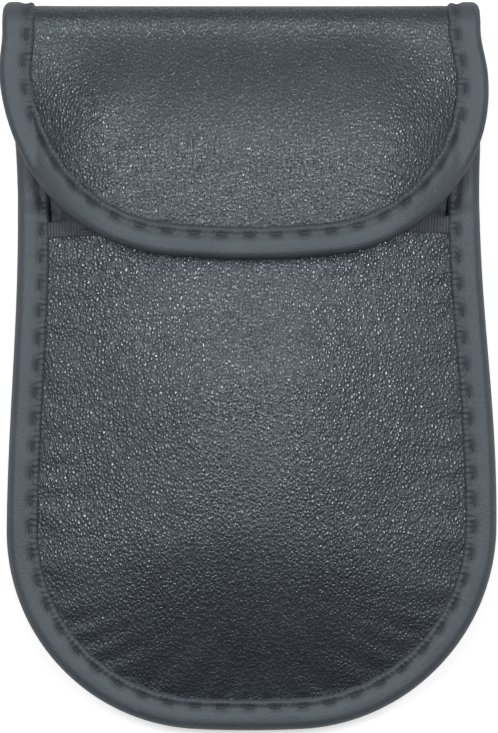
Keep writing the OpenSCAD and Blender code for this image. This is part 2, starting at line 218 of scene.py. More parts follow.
@dataclass(frozen=True)
class Stations:
    """Places along an outline, from its right-hand top round the tip to its left-hand top."""

    edge: np.ndarray
    inward: np.ndarray
    middle: np.ndarray
    way: np.ndarray

    def beside(self, way: np.ndarray, inset: np.ndarray) -> tuple[np.ndarray, np.ndarray]:
        """Find points beside the edge.

        Args:
            way: Distance along the seam from the tip, in millimetres.
            inset: Distance inwards from the edge.

        Returns:
            The points' two flat coordinates.
        """
        edge_x, edge_v = (np.interp(way, self.way, self.edge[:, i]) for i in (0, 1))
        in_x, in_v = (np.interp(way, self.way, self.inward[:, i]) for i in (0, 1))
        return edge_x + in_x * inset, edge_v + in_v * inset


@dataclass(frozen=True)
class Tongue:
    """Outline that points down, in millimetres, as the frame has it."""

    tip: float
    rise: float
    half: float
    tip_radius: float
    waist: float
    waist_y: float
    fold: float
    fold_edge_y: float = 64.8
    middle_share: float = 0.35
    tip_share: float = 0.2

    @property
    def corner_y(self) -> float:
        """Height of the corners' centres."""
        return self.tip + self.rise

    @property
    def corner_r(self) -> float:
        """Radius of the corners."""
        both = 2.0 * self.tip_radius * self.rise - self.rise**2 - self.half**2
        return both / (2.0 * (self.tip_radius - self.half))

    @property
    def corner_x(self) -> float:
        """Distance of the corners' centres from the middle line."""
        return self.half - self.corner_r

    @property
    def tip_centre_y(self) -> float:
        """Height of the centre of the tip's shallow curve."""
        return self.tip + self.tip_radius

    @property
    def tip_angle(self) -> float:
        """Half of the angle that the tip's curve covers."""
        return math.atan2(self.corner_x, self.tip_radius - self.rise)

    def half_at(self, y: np.ndarray) -> np.ndarray:
        """Find half the width.

        Args:
            y: Height, above the corners' centres.

        Returns:
            Half the width at each height.
        """
        below = (y - self.corner_y) / (self.waist_y - self.corner_y)
        above = (y - self.waist_y) / (self.fold_edge_y - self.waist_y)
        low, high = mix(self.half, self.waist, ease(below)), mix(self.waist, self.fold, ease(above))
        return np.where(y <= self.waist_y, low, high)

    def inset(self, x: np.ndarray, y: np.ndarray) -> np.ndarray:
        """Find how far points are inwards from the outline.

        Args:
            x: Their place across.
            y: Their height.

        Returns:
            The distance of each point.
        """
        side = self.half_at(y) - np.abs(x)
        tip = self.tip_radius - np.hypot(x, self.tip_centre_y - y)
        corner = self.corner_r - np.hypot(np.abs(x) - self.corner_x, self.corner_y - y)
        steepness = self.corner_x * (self.tip_centre_y - y)
        in_tip = np.abs(x) * (self.tip_radius - self.rise) < steepness
        return np.where(y >= self.corner_y, side, np.where(in_tip, tip, corner))

    def stations(self, top: float, step: float, seam: float) -> Stations:
        """Lay out stations along the outline.

        Args:
            top: Height at which both sides end.
            step: Distance between stations.
            seam: Inset of the seam along which distances are counted.

        Returns:
            The stations, with as many on each side of the tip.
        """
        rows = max(2, math.ceil((top - self.corner_y) / step))
        y = np.linspace(top, self.corner_y, rows, endpoint=False)
        side = (self.half_at(y), y, -np.ones(rows), np.zeros(rows), y)
        count = math.ceil(self.corner_r * (math.pi / 2 - self.tip_angle) / step)
        a = np.linspace(math.pi / 2, self.tip_angle, count, endpoint=False)
        corner = (
            self.corner_x + self.corner_r * np.sin(a),
            self.corner_y - self.corner_r * np.cos(a),
            -np.sin(a),
            np.cos(a),
            self.corner_y - self.middle_share * self.corner_r * np.cos(a),
        )
        count = math.ceil(self.tip_radius * self.tip_angle / step) + 1
        b = np.linspace(self.tip_angle, 0.0, count)
        deeper = self.tip_share * (1.0 - b / self.tip_angle)
        tip = (
            self.tip_radius * np.sin(b),
            self.tip_centre_y - self.tip_radius * np.cos(b),
            -np.sin(b),
            np.cos(b),
            self.corner_y - self.corner_r * self.middle_share * (math.cos(self.tip_angle) + deeper),
        )
        right = np.concatenate([np.stack(part, 1) for part in (side, corner, tip)])
        left = right[-2::-1] * np.array([-1.0, 1.0, -1.0, 1.0, 1.0])
        both = np.concatenate([right, left])
        line = both[:, 0:2] + both[:, 2:4] * seam
        way = np.concatenate([[0.0], np.cumsum(np.linalg.norm(np.diff(line, axis=0), axis=1))])
        middle = np.stack([np.zeros(len(both)), both[:, 4]], 1)
        return Stations(both[:, 0:2], both[:, 2:4], middle, way - way[len(right) - 1])


@dataclass(frozen=True)
class PouchForm:
    """Surfaces of the shut pouch in millimetres, after the frame's own sizes."""

    body: Tongue = Tongue(-70.0, 39.0, 47.2, 200.0, 44.5, 32.0, 45.8)
    flap: Tongue = Tongue(20.4, 35.0, 46.8, 155.0, 46.8, 55.7, 45.8)
    fold_y: float = 65.1
    fold_z: float = 7.3
    fold_r: float = 4.3
    fold_edge_y: float = 64.8
    back_bulge: float = 3.0
    back_t: float = 2.2
    divider_t: float = 1.4
    front_t: float = 1.3
    divider_edge_z: float = 5.2
    divider_mid_z: float = 6.8
    divider_high_z: float = 11.3
    front_edge_z: float = 6.6
    front_mid_z: float = 13.2
    flap_edge_z: float = 9.4
    flap_mid_z: float = 16.2
    mouth_y: float = 28.3
    divider_top_y: float = 54.3
    climb_start_y: float = 27.5
    climb_end_y: float = 36.5
    tape_w: float = 6.2
    seam: float = 4.5
    pitch: float = 5.2
    reach: float = 18.0
    fold_reach: float = 24.0
    fold_ease: float = 3.0
    flap_reach: float = 23.0
    step_down: float = 5.0
    front_reach: float = 34.0
    crown: Hump = Hump(3.2, 1.0, -8.0, 20.0, 35.0)
    crown_top_y: float = 22.0
    crown_ease: float = 26.0
    front_soft: tuple[Hump | Ripple, ...] = (
        Hump(0.3, -24.0, 2.0, 4.5, 16.0, slant=-0.25),
        Hump(0.25, 30.0, -4.0, 4.5, 16.0, slant=0.3),
        Ripple(0.14, 34.0, seed=1.0),
        Ripple(0.04, 13.0, seed=2.0),
    )
    mouth: Arch = Arch()
    crease_x: float = -25.0
    crease_y: float = 43.0
    crease_fade: float = 3.0
    crease: Hump = Hump(-0.45, 0.0, 0.0, 3.2, 10.0)
    ridge: Hump = Hump(0.3, -6.5, 0.0, 4.0, 11.0)
    flap_uneven: Ripple = Ripple(0.12, 30.0, seed=3.0)

    @property
    def fold_top(self) -> float:
        """Flat coordinate of the fold's middle, where the back's leather meets the flap's."""
        return self.fold_y + self.fold_r * math.pi / 2.0

    def body_rise(self, x: np.ndarray, v: np.ndarray, reach: float) -> np.ndarray:
        """Share of its full height that a wall has at a place."""
        return swell((self.body.inset(x, v) - self.tape_w) / reach)

    def back_z(self, x: np.ndarray, v: np.ndarray) -> np.ndarray:
        """Height of the back's outer surface."""
        fall = self.body_rise(x, v, self.reach) * ease((self.fold_edge_y - v) / self.fold_reach)
        return self.back_bulge * (1.0 - fall)

    def flap_drop(self, v: np.ndarray) -> np.ndarray:
        """Find how far the middle of the flap is below its full height, near the fold.

        Args:
            v: Flat coordinate along the flap.

        Returns:
            The drop at each place.
        """
        off = np.maximum(self.fold_y - v, 0.0)
        climb = swell(off**2 / (off + self.fold_ease) / self.flap_reach)
        return (self.flap_mid_z - self.flap_edge_z) * (1.0 - climb)

    def divider_z(self, x: np.ndarray, v: np.ndarray) -> np.ndarray:
        """Find the divider's underside, which keeps its distance from the flap above it.

        Args:
            x: Place across.
            v: Flat coordinate along the wall.

        Returns:
            The height at each place.
        """
        climb = ease((v - self.climb_start_y) / (self.climb_end_y - self.climb_start_y))
        high = self.divider_high_z - self.flap_drop(v)
        middle = mix(self.divider_mid_z, high, climb)
        return mix(self.divider_edge_z, middle, self.body_rise(x, v, self.reach))

    def front_z(self, x: np.ndarray, v: np.ndarray) -> np.ndarray:
        """Find the front wall's underside, with the belly's crown and soft folds.

        Args:
            x: Place across.
            v: Flat coordinate along the wall.

        Returns:
            The height at each place.
        """
        rise = self.body_rise(x, v, self.front_reach)
        base = mix(self.front_edge_z, self.front_mid_z, rise)
        crown = ease((self.crown_top_y - v) / self.crown_ease) * self.crown.at(x, v)
        return base + rise * (crown + sum(part.at(x, v) for part in self.front_soft))

    def flap_z(self, x: np.ndarray, v: np.ndarray) -> np.ndarray:
        """Find the flap's underside, with a soft crease across its left side.

        Args:
            x: Place across.
            v: Flat coordinate along the wall.

        Returns:
            The height at each place.
        """
        across = swell((self.flap.half - self.tape_w - np.abs(x)) / self.reach)
        full = self.flap_mid_z - self.flap_edge_z - self.flap_drop(v)
        a, b = x - self.crease_x, v - self.crease_y
        side, along = (a - b) / math.sqrt(2.0), (a + b) / math.sqrt(2.0)
        soft = self.crease.at(side, along) + self.ridge.at(side, along) + self.flap_uneven.at(x, v)
        return self.flap_edge_z + across * (full + soft * unit(full / self.crease_fade))

    def body_stack(self, v: np.ndarray) -> np.ndarray:
        """Find the thickness of the layers that the body's binding holds.

        Args:
            v: Flat coordinate along the body.

        Returns:
            The thickness at each place.
        """
        front = self.front_t * ease((self.mouth_y + self.step_down - v) / self.step_down)
        divider_end = self.divider_top_y + self.step_down
        divider = self.divider_t * ease((divider_end - v) / self.step_down)
        return self.back_t + divider + front

    def flap_stack(self, v: np.ndarray) -> np.ndarray:
        """Thickness of the layers that the flap's binding holds."""
        return np.full_like(v, self.back_t)

    def on_back(self, x: np.ndarray, v: np.ndarray, h: np.ndarray) -> np.ndarray:
        """Place points inside the back's outer surface, also where it goes round the fold.

        Args:
            x: Place across.
            v: Flat coordinate along the wall.
            h: Depth inside the surface.

        Returns:
            The points in millimetres.
        """
        turn = np.maximum(v - self.fold_y, 0.0) / self.fold_r
        y = np.minimum(v, self.fold_y) + (self.fold_r - h) * np.sin(turn)
        round_z = self.fold_z - (self.fold_r - h) * np.cos(turn)
        return np.stack([x, y, np.where(v > self.fold_y, round_z, self.back_z(x, v) + h)], -1)

    def on_flap(self, x: np.ndarray, v: np.ndarray, h: np.ndarray) -> np.ndarray:
        """Place points outside the flap's underside, also where it goes round the fold.

        Args:
            x: Place across.
            v: Flat coordinate along the wall.
            h: Height over the surface.

        Returns:
            The points in millimetres.
        """
        turn = np.maximum(v - self.fold_y, 0.0) / self.fold_r
        radius = self.fold_r - self.back_t + h
        y = np.minimum(v, self.fold_y) + radius * np.sin(turn)
        round_z = self.fold_z + radius * np.cos(turn)
        return np.stack([x, y, np.where(v > self.fold_y, round_z, self.flap_z(x, v) + h)], -1)

    def on_divider(self, x: np.ndarray, v: np.ndarray, h: np.ndarray) -> np.ndarray:
        """Place points h above the divider's underside."""
        return np.stack([x, v, self.divider_z(x, v) + h], -1)

    def on_front(self, x: np.ndarray, v: np.ndarray, h: np.ndarray) -> np.ndarray:
        """Place points h above the front wall's underside, with its mouth slightly arched."""
        return np.stack([x, v + self.mouth.at(x, v), self.front_z(x, v) + h], -1)


@dataclass
class Piece:
    """Mesh in the making: its points in millimetres, its faces and its painted values."""

    name: str
    points: np.ndarray
    faces: list[list[int]]
    values: dict[str, np.ndarray] = field(default_factory=dict)

    @classmethod
    def joined(cls, name: str, parts: Sequence["Piece"]) -> "Piece":
        """Put several pieces in one.

        Args:
            name: Name of the whole.
            parts: The pieces, whose painted values are left out.

        Returns:
            The whole.
        """
        faces, start = [], 0
        for part in parts:
            faces += [[i + start for i in f] for f in part.faces]
            start += len(part.points)
        return cls(name, np.concatenate([part.points for part in parts]), faces)

    def flip(self) -> None:
        """Turn all faces round."""
        self.faces = [f[::-1] for f in self.faces]

    def volume(self) -> float:
        """Find the signed volume.

        Returns:
            The volume, which is negative if the faces point inwards.
        """
        total = 0.0
        for size in {len(f) for f in self.faces}:
            f = np.array([g for g in self.faces if len(g) == size])
            for i in range(1, size - 1):
                a, b, c = (self.points[f[:, j]] for j in (0, i, i + 1))
                total += float(np.einsum("ij,ij->i", a, np.cross(b, c)).sum()) / 6.0
        return total

    def make(self) -> bpy.types.Object:
        """Make the Blender object, with its place in its mesh.

        Returns:
            The new object, linked to the scene.
        """
        if self.volume() < 0.0:
            self.flip()
        points = self.points.copy()
        points[:, 0] += LEAN.at(points[:, 1])
        mesh = bpy.data.meshes.new(self.name)
        mesh.from_pydata((points * MM).tolist(), [], self.faces)
        mesh.validate()
        for name, value in self.values.items():
            paint = mesh.attributes.new(name, "FLOAT", "POINT")
            paint.data.foreach_set("value", np.asarray(value, np.float32))
        mesh.polygons.foreach_set("use_smooth", [True] * len(mesh.polygons))
        mesh.update()
        made = bpy.data.objects.new(self.name, mesh)
        bpy.context.scene.collection.objects.link(made)
        LOG.info("%s: %d points, %d faces", self.name, len(mesh.vertices), len(mesh.polygons))
        return made


def tube_faces(rows: int, size: int) -> list[list[int]]:
    """List the faces of a closed tube.

    Args:
        rows: Number of its sections.
        size: Number of points in a section.

    Returns:
        The faces between the sections, then those over both ends.
    """
    faces = []
    for i in range(rows - 1):
        for j in range(size):
            a, b = i * size + j, i * size + (j + 1) % size
            faces.append([a, b, b + size, a + size])
    return [*faces, list(range(size))[::-1], [(rows - 1) * size + j for j in range(size)]]


@dataclass(frozen=True)
class Puckers:
    """Puckers of a wall beside the binding's seam, in millimetres."""

    height: float
    pitch: float
    fade: float = 1.9
    least: float = 0.6
    beat_wave: float = 3.7
    beat_drift: float = 9.1
    draw_share: float = 0.8
    draw_fade: float = 5.5
    draw_start: float = 1.5
    draw_rate: float = 0.83
    drift_rate: float = 0.17
    drift: float = 2.0
    sink_share: float = 0.35
    sink_fade: float = 1.2

    def lift(self, off: np.ndarray, way: np.ndarray) -> np.ndarray:
        """Find how far the puckers lift the wall.

        Args:
            off: Distance in from the binding's inner edge.
            way: Distance along the seam.

        Returns:
            The lift at each place.
        """
        beat = 0.5 - 0.5 * np.cos(2.0 * np.pi * way / self.pitch)
        wander = np.sin(way / self.beat_wave + np.sin(way / self.beat_drift) * self.drift)
        uneven = self.least + (1.0 - self.least) * wander
        folds = np.exp(-off / self.fade) * beat * uneven
        pulls = np.sin(way * self.draw_rate + self.drift * np.sin(way * self.drift_rate))
        draws = np.exp(-off / self.draw_fade) * unit(off / self.draw_start) * pulls
        sink = self.sink_share * np.exp(-off / self.sink_fade)
        return self.height * (folds + self.draw_share * draws - sink)


@dataclass(frozen=True)
class Fill:
    """Area inside an outline, which a wall's layers fill from under the binding inwards."""

    form: PouchForm
    outline: Tongue
    place: Place
    top: float
    step: float
    under_tape: tuple[float, ...] = (0.7, 2.6, 4.2, 5.2)
    lap: float = 0.3
    rings: int = 30
    crowding: float = 1.55
    tuck: float = 0.35
    tuck_share: float = 0.3
    tuck_reach: float = 1.4
    shade_reach: float = 3.0

    def layer(self, name: str, low: float, high: float, pucker: float = 0.0) -> Piece:
        """Build a layer that is drawn in and puckered beside the binding's seam.

        Args:
            name: Name of the piece.
            low: Height of the layer's lower face over the wall's surface.
            high: Height of its upper face.
            pucker: Height of the puckers.

        Returns:
            The closed layer.
        """
        form = self.form
        stations = self.outline.stations(self.top, self.step, form.seam)
        inner_edge = form.tape_w - self.lap
        rings = [stations.edge + stations.inward * d for d in (*self.under_tape, inner_edge)]
        start = rings[-1]
        shares = (np.arange(1, self.rings + 1) / self.rings) ** self.crowding
        rings += [mix(start, stations.middle, share) for share in shares]
        count, inner = len(stations.way), len(rings) - 1
        half = (count - 1) // 2 + 1
        flat = np.concatenate([*rings[:-1], rings[-1][:half]])
        way = np.concatenate([np.tile(stations.way, inner), stations.way[:half]])
        x, v = flat[:, 0], flat[:, 1]
        inset = self.outline.inset(x, v)
        off = np.maximum(inset - form.tape_w, 0.0)
        lift = Puckers(pucker, form.pitch).lift(off, way)
        tuck = min(self.tuck, self.tuck_share * (high - low))
        tuck = tuck * ease((inner_edge - inset) / self.tuck_reach)
        upper, lower = self.place(x, v, high + lift - tuck), self.place(x, v, low + lift + tuck)
        seam = np.tile(np.exp(-off / self.shade_reach), 2)
        faces = self._faces(count, inner, len(flat))
        return Piece(name, np.concatenate([upper, lower]), faces, {"seam": seam})

    @staticmethod
    def _faces(count: int, inner: int, total: int) -> list[list[int]]:
        """List a layer's faces.

        Args:
            count: Number of stations.
            inner: Number of rings before the innermost, which is folded on the middle line.
            total: Number of points on one side.

        Returns:
            The faces of both sides and of the rim between them.
        """
        last = count - 1

        def at(k: int, s: int) -> int:
            """Index of ring k's point at station s."""
            return k * count + (s if k < inner else min(s, last - s))

        upper = [
            [at(k + 1, s), at(k + 1, s + 1), at(k, s + 1), at(k, s)]
            for k in range(inner)
            for s in range(last)
        ]
        lower = [[i + total for i in reversed(f)] for f in upper]
        rim = [(at(0, s), at(0, s + 1)) for s in range(last)]
        rim += [(at(k + 1, 0), at(k, 0)) for k in range(inner)]
        rim += [(at(k, last), at(k + 1, last)) for k in range(inner)]
        return upper + lower + [[a, b, b + total, a + total] for a, b in rim]


@dataclass(frozen=True)
class TapeForm:
    """Section of the binding tape: how it lies round an edge and how the seam pinches it."""

    form: PouchForm
    swell_t: float = 0.76
    lip_share: float = 0.86
    lip_lap: float = 0.1
    lip_reach: float = 0.9
    outer_rise: float = 0.12
    outer_reach: float = 1.6
    least_t: float = 0.03
    groove: float = 0.46
    groove_reach: float = 0.75
    groove_least: float = 0.45
    stitch_len: float = 2.6
    stitch_past: float = 0.9
    stitch_ease: float = 1.9
    dimple_in: float = 0.1
    dimple_reach: float = 0.8
    dimple_least: float = 0.35
    ruffle: float = 0.08
    ruffle_in: float = 0.4
    ruffle_reach: float = 1.2
    ruffle_least: float = 0.7
    ruffle_rate: float = 0.61
    inner_in: float = 0.3
    edge_wave: float = 0.06
    edge_rate: float = 0.9
    uneven: Ripple = Ripple(0.05, 16.0, seed=5.0)
    squeeze: float = 3.0
    nose: float = 1.9
    nose_share: float = 0.8
    nose_steps: int = 13
    hidden_edge: float = 0.75
    hidden_steps: int = 7
    face_shares: tuple[float, ...] = (
        1.0, 0.985, 0.93, 0.86, 0.78, 0.72, 0.66, 0.6, 0.54, 0.46, 0.36, 0.24, 0.12, 0.0,
    )  # fmt: skip

    def stitch_mask(self, way: np.ndarray) -> np.ndarray:
        """Give 1 along each stitch and 0 between two."""
        off = np.abs((way / self.form.pitch + 0.5) % 1.0 - 0.5) * self.form.pitch
        return ease((self.stitch_len / 2.0 + self.stitch_past - off) / self.stitch_ease)

    def lift(self, d: np.ndarray, way: np.ndarray) -> np.ndarray:
        """Find the height of the tape's face over the layers.

        Args:
            d: Distance in from the edge.
            way: Distance along the seam.

        Returns:
            The height in millimetres.
        """
        width, seam = self.form.tape_w, self.form.seam
        lip = self.swell_t * swell((width + self.lip_lap - d) / self.lip_reach) * self.lip_share
        body = lip + self.outer_rise * ease((seam - d) / self.outer_reach)
        stitched = mix(self.groove_least, 1.0, self.stitch_mask(way))
        pinch = self.groove * bump(d, seam, self.groove_reach) * stitched
        beat = np.cos(2.0 * np.pi * way / self.form.pitch)
        inside = unit((d - seam + self.ruffle_in) / self.ruffle_reach)
        varied = mix(self.ruffle_least, 1.0, np.sin(way * self.ruffle_rate))
        ruffle = -self.ruffle * beat * inside * varied
        uneven = self.uneven.at(way, d * self.squeeze)
        return np.maximum(body - pinch + ruffle + uneven, self.least_t)

    def build(self, name: str, stations: Stations, place: Place, stack: Profile) -> Piece:
        """Sweep the tape along an outline.

        Args:
            name: Name of the piece.
            stations: Places along the outline.
            place: Function that puts flat points on their surface.
            stack: Thickness of the bound layers at each flat height.

        Returns:
            The closed tape.
        """
        way = stations.way[:, None]
        top = stack(stations.edge[:, 1:])
        middle = top / 2.0
        nose = np.minimum(self.nose, self.nose_share * (middle + self.swell_t))
        beat = np.cos(2.0 * np.pi * way / self.form.pitch)
        reach = self.form.tape_w + self.edge_wave * (beat + np.sin(way * self.edge_rate))
        d_face = mix(nose, reach, np.array(self.face_shares)[None, :])
        lift = self.lift(d_face, way)
        up, down = top + lift, -lift
        turns = np.linspace(math.pi / 2, -math.pi / 2, self.nose_steps)[None, 1:-1]
        d_nose = nose * (1.0 - np.cos(turns))
        nose_half = np.where(turns > 0.0, up[:, -1:] - middle, middle - down[:, -1:])
        h_nose = middle + nose_half * np.sin(turns)
        hidden = np.full(len(way), self.hidden_edge)
        d_hidden = np.linspace(reach[:, 0], hidden, self.hidden_steps, axis=1)[:, 1:]
        flat = 0.0 * d_hidden
        d = np.concatenate([d_face, d_nose, d_face[:, ::-1], d_hidden, d_hidden[:, ::-1]], 1)
        h = np.concatenate([up, h_nose, down[:, ::-1], flat, top + flat], 1)
        x = stations.edge[:, :1] + stations.inward[:, :1] * d
        v = stations.edge[:, 1:] + stations.inward[:, 1:] * d
        stitched = mix(self.dimple_least, 1.0, self.stitch_mask(way))
        seam = self.form.seam
        values = {
            "dimple": bump(d, seam + self.dimple_in, self.dimple_reach) * stitched,
            "inner": unit((d - seam + self.inner_in) / self.ruffle_reach),
            "way": way + 0.0 * d,
        }
        painted = {key: value.ravel() for key, value in values.items()}
        return Piece(name, place(x, v, h).reshape(-1, 3), tube_faces(*d.shape), painted)


def settled(points: np.ndarray, faces: list[list[int]]) -> tuple[np.ndarray, list[list[int]]]:
    """Put a ball's points and faces in a fixed order, because Blender's differs from run to run.

    Args:
        points: The ball's points.
        faces: Its faces.

    Returns:
        The same points and faces, in order of their places.
    """
    order = np.lexsort(np.round(points, 4).T)
    rank = np.argsort(order)
    return points[order], sorted([int(rank[i]) for i in face] for face in faces)


@dataclass
class Stitch:
    """One stitch, modelled once, of which each seam copies as many as it needs."""

    length: float = 2.7
    radius: float = 0.2
    segments: int = 8
    rings: int = 10
    taper: float = 5.0
    sag: float = 0.42
    skew: float = 0.1
    skew_turn: float = 2.7
    tiny: float = 1e-6

    def __post_init__(self) -> None:
        """Model the stitch from a ball that is drawn out and flattened."""
        bpy.ops.object.select_all(action="DESELECT")
        bpy.ops.mesh.primitive_uv_sphere_add(
            segments=self.segments,
            ring_count=self.rings,
            radius=1.0,
            rotation=(0.0, math.pi / 2, 0.0),
        )
        ball = bpy.context.object
        bpy.ops.object.transform_apply(location=True, rotation=True, scale=True)
        faces = [list(p.vertices) for p in ball.data.polygons]
        points, self.faces = settled(np.array([v.co for v in ball.data.vertices]), faces)
        bpy.data.objects.remove(ball)
        along = points[:, 0]
        full = np.sqrt(np.maximum(1.0 - along**2, 0.0))
        thick = self.radius * unit((1.0 - np.abs(along)) * self.taper) ** 0.5
        scale = np.where(full > self.tiny, thick / np.maximum(full, self.tiny), 0.0)
        height = points[:, 2] * scale - self.sag * along**4
        self.points = np.stack([along * self.length / 2.0, points[:, 1] * scale, height])

    def seam(self, name: str, ways: Sequence[float], place: Place) -> Piece:
        """Copy the stitch along a seam.

        Args:
            name: Name of the piece.
            ways: Places of the stitches along the seam.
            place: Function that puts points on the seam, from their place along it, their
                distance beside it and their height over it.

        Returns:
            All the seam's stitches as one piece.
        """
        along, side, up = self.points
        parts = []
        for i, way in enumerate(ways):
            skew = self.skew * math.sin(i * self.skew_turn)
            parts.append(Piece(name, place(way + along, side + skew * along, up), self.faces))
        return Piece.joined(name, parts)


def stitch_ways(reach: float, pitch: float) -> list[float]:
    """Places of the stitches that fit within a reach on each side of a seam's middle."""
    count = int(reach / pitch)
    return [i * pitch for i in range(-count, count + 1)]


class NodeKit:
    """Shorthand for building a shader tree."""

    def __init__(self, tree: bpy.types.NodeTree) -> None:
        """Start on an empty tree."""
        self.tree = tree
        tree.nodes.clear()

    def put(self, value: object, socket: Socket) -> None:
        """Link a socket to an input, or set the input to a value.

        Args:
            value: The socket or the value.
            socket: The input.
        """
        if isinstance(value, Socket):
            self.tree.links.new(value, socket)
        else:
            socket.default_value = value

    def add(
        self, kind: str, links: dict[str | int, object] | None = None, **settings: object
    ) -> bpy.types.Node:
        """Add a node.

        Args:
            kind: Blender's name for the node's type.
            links: Inputs by name or number, each a socket to link or a value to set.
            **settings: Properties of the node.

        Returns:
            The new node.
        """
        node = self.tree.nodes.new(kind)
        for name, value in settings.items():
            setattr(node, name, value)
        for name, value in (links or {}).items():
            self.put(value, node.inputs[name])
        return node

    def math(self, operation: str, a: object, b: object = 0.0, c: object = 0.0) -> Socket:
        """Add a Math node and give its result."""
        return self.add("ShaderNodeMath", {0: a, 1: b, 2: c}, operation=operation).outputs[0]

    def blend(self, share: object, a: object, b: object) -> Socket:
        """Mix two colours and give the result."""
        links = {"Factor": share, 6: a, 7: b}
        return self.add("ShaderNodeMix", links, data_type="RGBA").outputs[2]

    def remap(self, value: object, low: float, high: float, out: tuple[float, float]) -> Socket:
        """Stretch a range of values over another."""
        ends = {"From Min": low, "From Max": high, "To Min": out[0], "To Max": out[1]}
        return self.add("ShaderNodeMapRange", {"Value": value, **ends}).outputs[0]

    def noise(self, place: object, scale: object, detail: float) -> bpy.types.Node:
        """Add a Noise node."""
        return self.add("ShaderNodeTexNoise", {"Vector": place, "Scale": scale, "Detail": detail})

    def cells(self, place: object, scale: object, feature: str) -> bpy.types.Node:
        """Add a Voronoi node."""
        return self.add("ShaderNodeTexVoronoi", {"Vector": place, "Scale": scale}, feature=feature)

    def painted(self, name: str) -> Socket:
        """Read one of the piece's painted values."""
        return self.add("ShaderNodeAttribute", attribute_name=name).outputs["Fac"]


class Effects:
    """Node groups that several finishes share. Lengths are shares of the group's size."""

    pebble_turn = (0.0, 0.0, 0.6)
    pebble_shape = (1.0, 0.74, 1.0)
    pebble_wobble = 0.6
    pebble_dome = 0.75
    crease_width = 0.26
    crease_depth = 0.5
    fine_scale = 3.2
    fine_height = 0.12
    patch_scale = 0.045
    thread_patches = 0.8
    speck_range = (0.06, 0.14)
    speck_rarity = 0.86

    def __init__(self) -> None:
        """Build each group once."""
        self.pebble = self._group("pebble grain", self._pebble, ("Height", "Crease", "Tone"))
        self.weave = self._group("plain weave", self._weave, ("Height", "Tone"))
        self.dust = self._group("dust", self._dust, ("Mask",))

    @staticmethod
    def _group(
        name: str, fill: Callable[[NodeKit, Socket, Socket], Sequence], outputs: Sequence[str]
    ) -> bpy.types.NodeTree:
        """Make a group with a place and a size going in.

        Args:
            name: Name of the group.
            fill: Function that adds its nodes and gives what goes out.
            outputs: Names of what goes out.

        Returns:
            The group.
        """
        tree = bpy.data.node_groups.new(name, "ShaderNodeTree")
        kit = NodeKit(tree)
        tree.interface.new_socket("Vector", in_out="INPUT", socket_type="NodeSocketVector")
        tree.interface.new_socket("Size", in_out="INPUT", socket_type="NodeSocketFloat")
        for output in outputs:
            tree.interface.new_socket(output, in_out="OUTPUT", socket_type="NodeSocketFloat")
        entry = kit.add("NodeGroupInput")
        leave = kit.add("NodeGroupOutput")
        for i, value in enumerate(fill(kit, entry.outputs[0], entry.outputs[1])):
            tree.links.new(value, leave.inputs[i])
        return tree

    def _pebble(self, kit: NodeKit, place: Socket, size: Socket) -> Sequence:
        """Add pebbles, slightly drawn out, with finer grain on them.

        Args:
            kit: The group's tree.
            place: Coordinates.
            size: Size of a pebble.

        Returns:
            The height, the creases between pebbles, and the patches of tone.
        """
        scale = kit.math("DIVIDE", 1.0, size)
        turned = kit.add(
            "ShaderNodeMapping",
            {"Vector": place, "Rotation": self.pebble_turn, "Scale": self.pebble_shape},
        ).outputs[0]
        wobble = kit.noise(turned, kit.math("MULTIPLY", scale, self.pebble_wobble), detail=2.0)
        shift = kit.add(
            "ShaderNodeVectorMath",
            {0: wobble.outputs["Color"], 1: (0.5, 0.5, 0.5)},
            operation="SUBTRACT",
        )
        sized = kit.add(
            "ShaderNodeVectorMath", {0: shift.outputs[0], "Scale": size}, operation="SCALE"
        )
        moved = kit.add("ShaderNodeVectorMath", {0: turned, 1: sized.outputs[0]}, operation="ADD")
        cells = kit.cells(moved.outputs[0], scale, "F1")
        edges = kit.cells(moved.outputs[0], scale, "DISTANCE_TO_EDGE")
        dome = kit.remap(cells.outputs["Distance"], 0.0, self.pebble_dome, (1.0, 0.0))
        crease = kit.remap(edges.outputs["Distance"], 0.0, self.crease_width, (1.0, 0.0))
        fine = kit.noise(place, kit.math("MULTIPLY", scale, self.fine_scale), detail=3.0)
        base = kit.math("MULTIPLY_ADD", fine.outputs[0], self.fine_height, dome)
        height = kit.math("MULTIPLY_ADD", crease, -self.crease_depth, base)
        tone = kit.noise(place, kit.math("MULTIPLY", scale, self.patch_scale), detail=4.0)
        return height, crease, tone.outputs[0]

    def _weave(self, kit: NodeKit, place: Socket, size: Socket) -> Sequence:
        """Add a plain weave with uneven threads.

        Args:
            kit: The group's tree.
            place: Coordinates.
            size: Pitch of the weave.

        Returns:
            The height and the patches of tone.
        """
        parts = kit.add("ShaderNodeSeparateXYZ", {0: place})
        pace = kit.math("DIVIDE", 2.0 * math.pi, size)
        waves = [kit.math("SINE", kit.math("MULTIPLY", parts.outputs[i], pace)) for i in (0, 1)]
        crossing = kit.math("MULTIPLY", waves[0], waves[1])
        height = kit.math("MULTIPLY_ADD", crossing, 0.5, 0.5)
        tone = kit.noise(place, kit.math("DIVIDE", self.thread_patches, size), detail=3.0)
        return height, tone.outputs[0]

    def _dust(self, kit: NodeKit, place: Socket, size: Socket) -> Sequence:
        """Add sparse pale specks.

        Args:
            kit: The group's tree.
            place: Coordinates.
            size: Spacing of the specks, most of which are left out.

        Returns:
            The specks' mask.
        """
        specks = kit.cells(place, kit.math("DIVIDE", 1.0, size), "F1")
        spot = kit.remap(specks.outputs["Distance"], *self.speck_range, (1.0, 0.0))
        pick = kit.add("ShaderNodeSeparateColor", {0: specks.outputs["Color"]})
        rare = kit.math("GREATER_THAN", pick.outputs[0], self.speck_rarity)
        return (kit.math("MULTIPLY", spot, rare),)


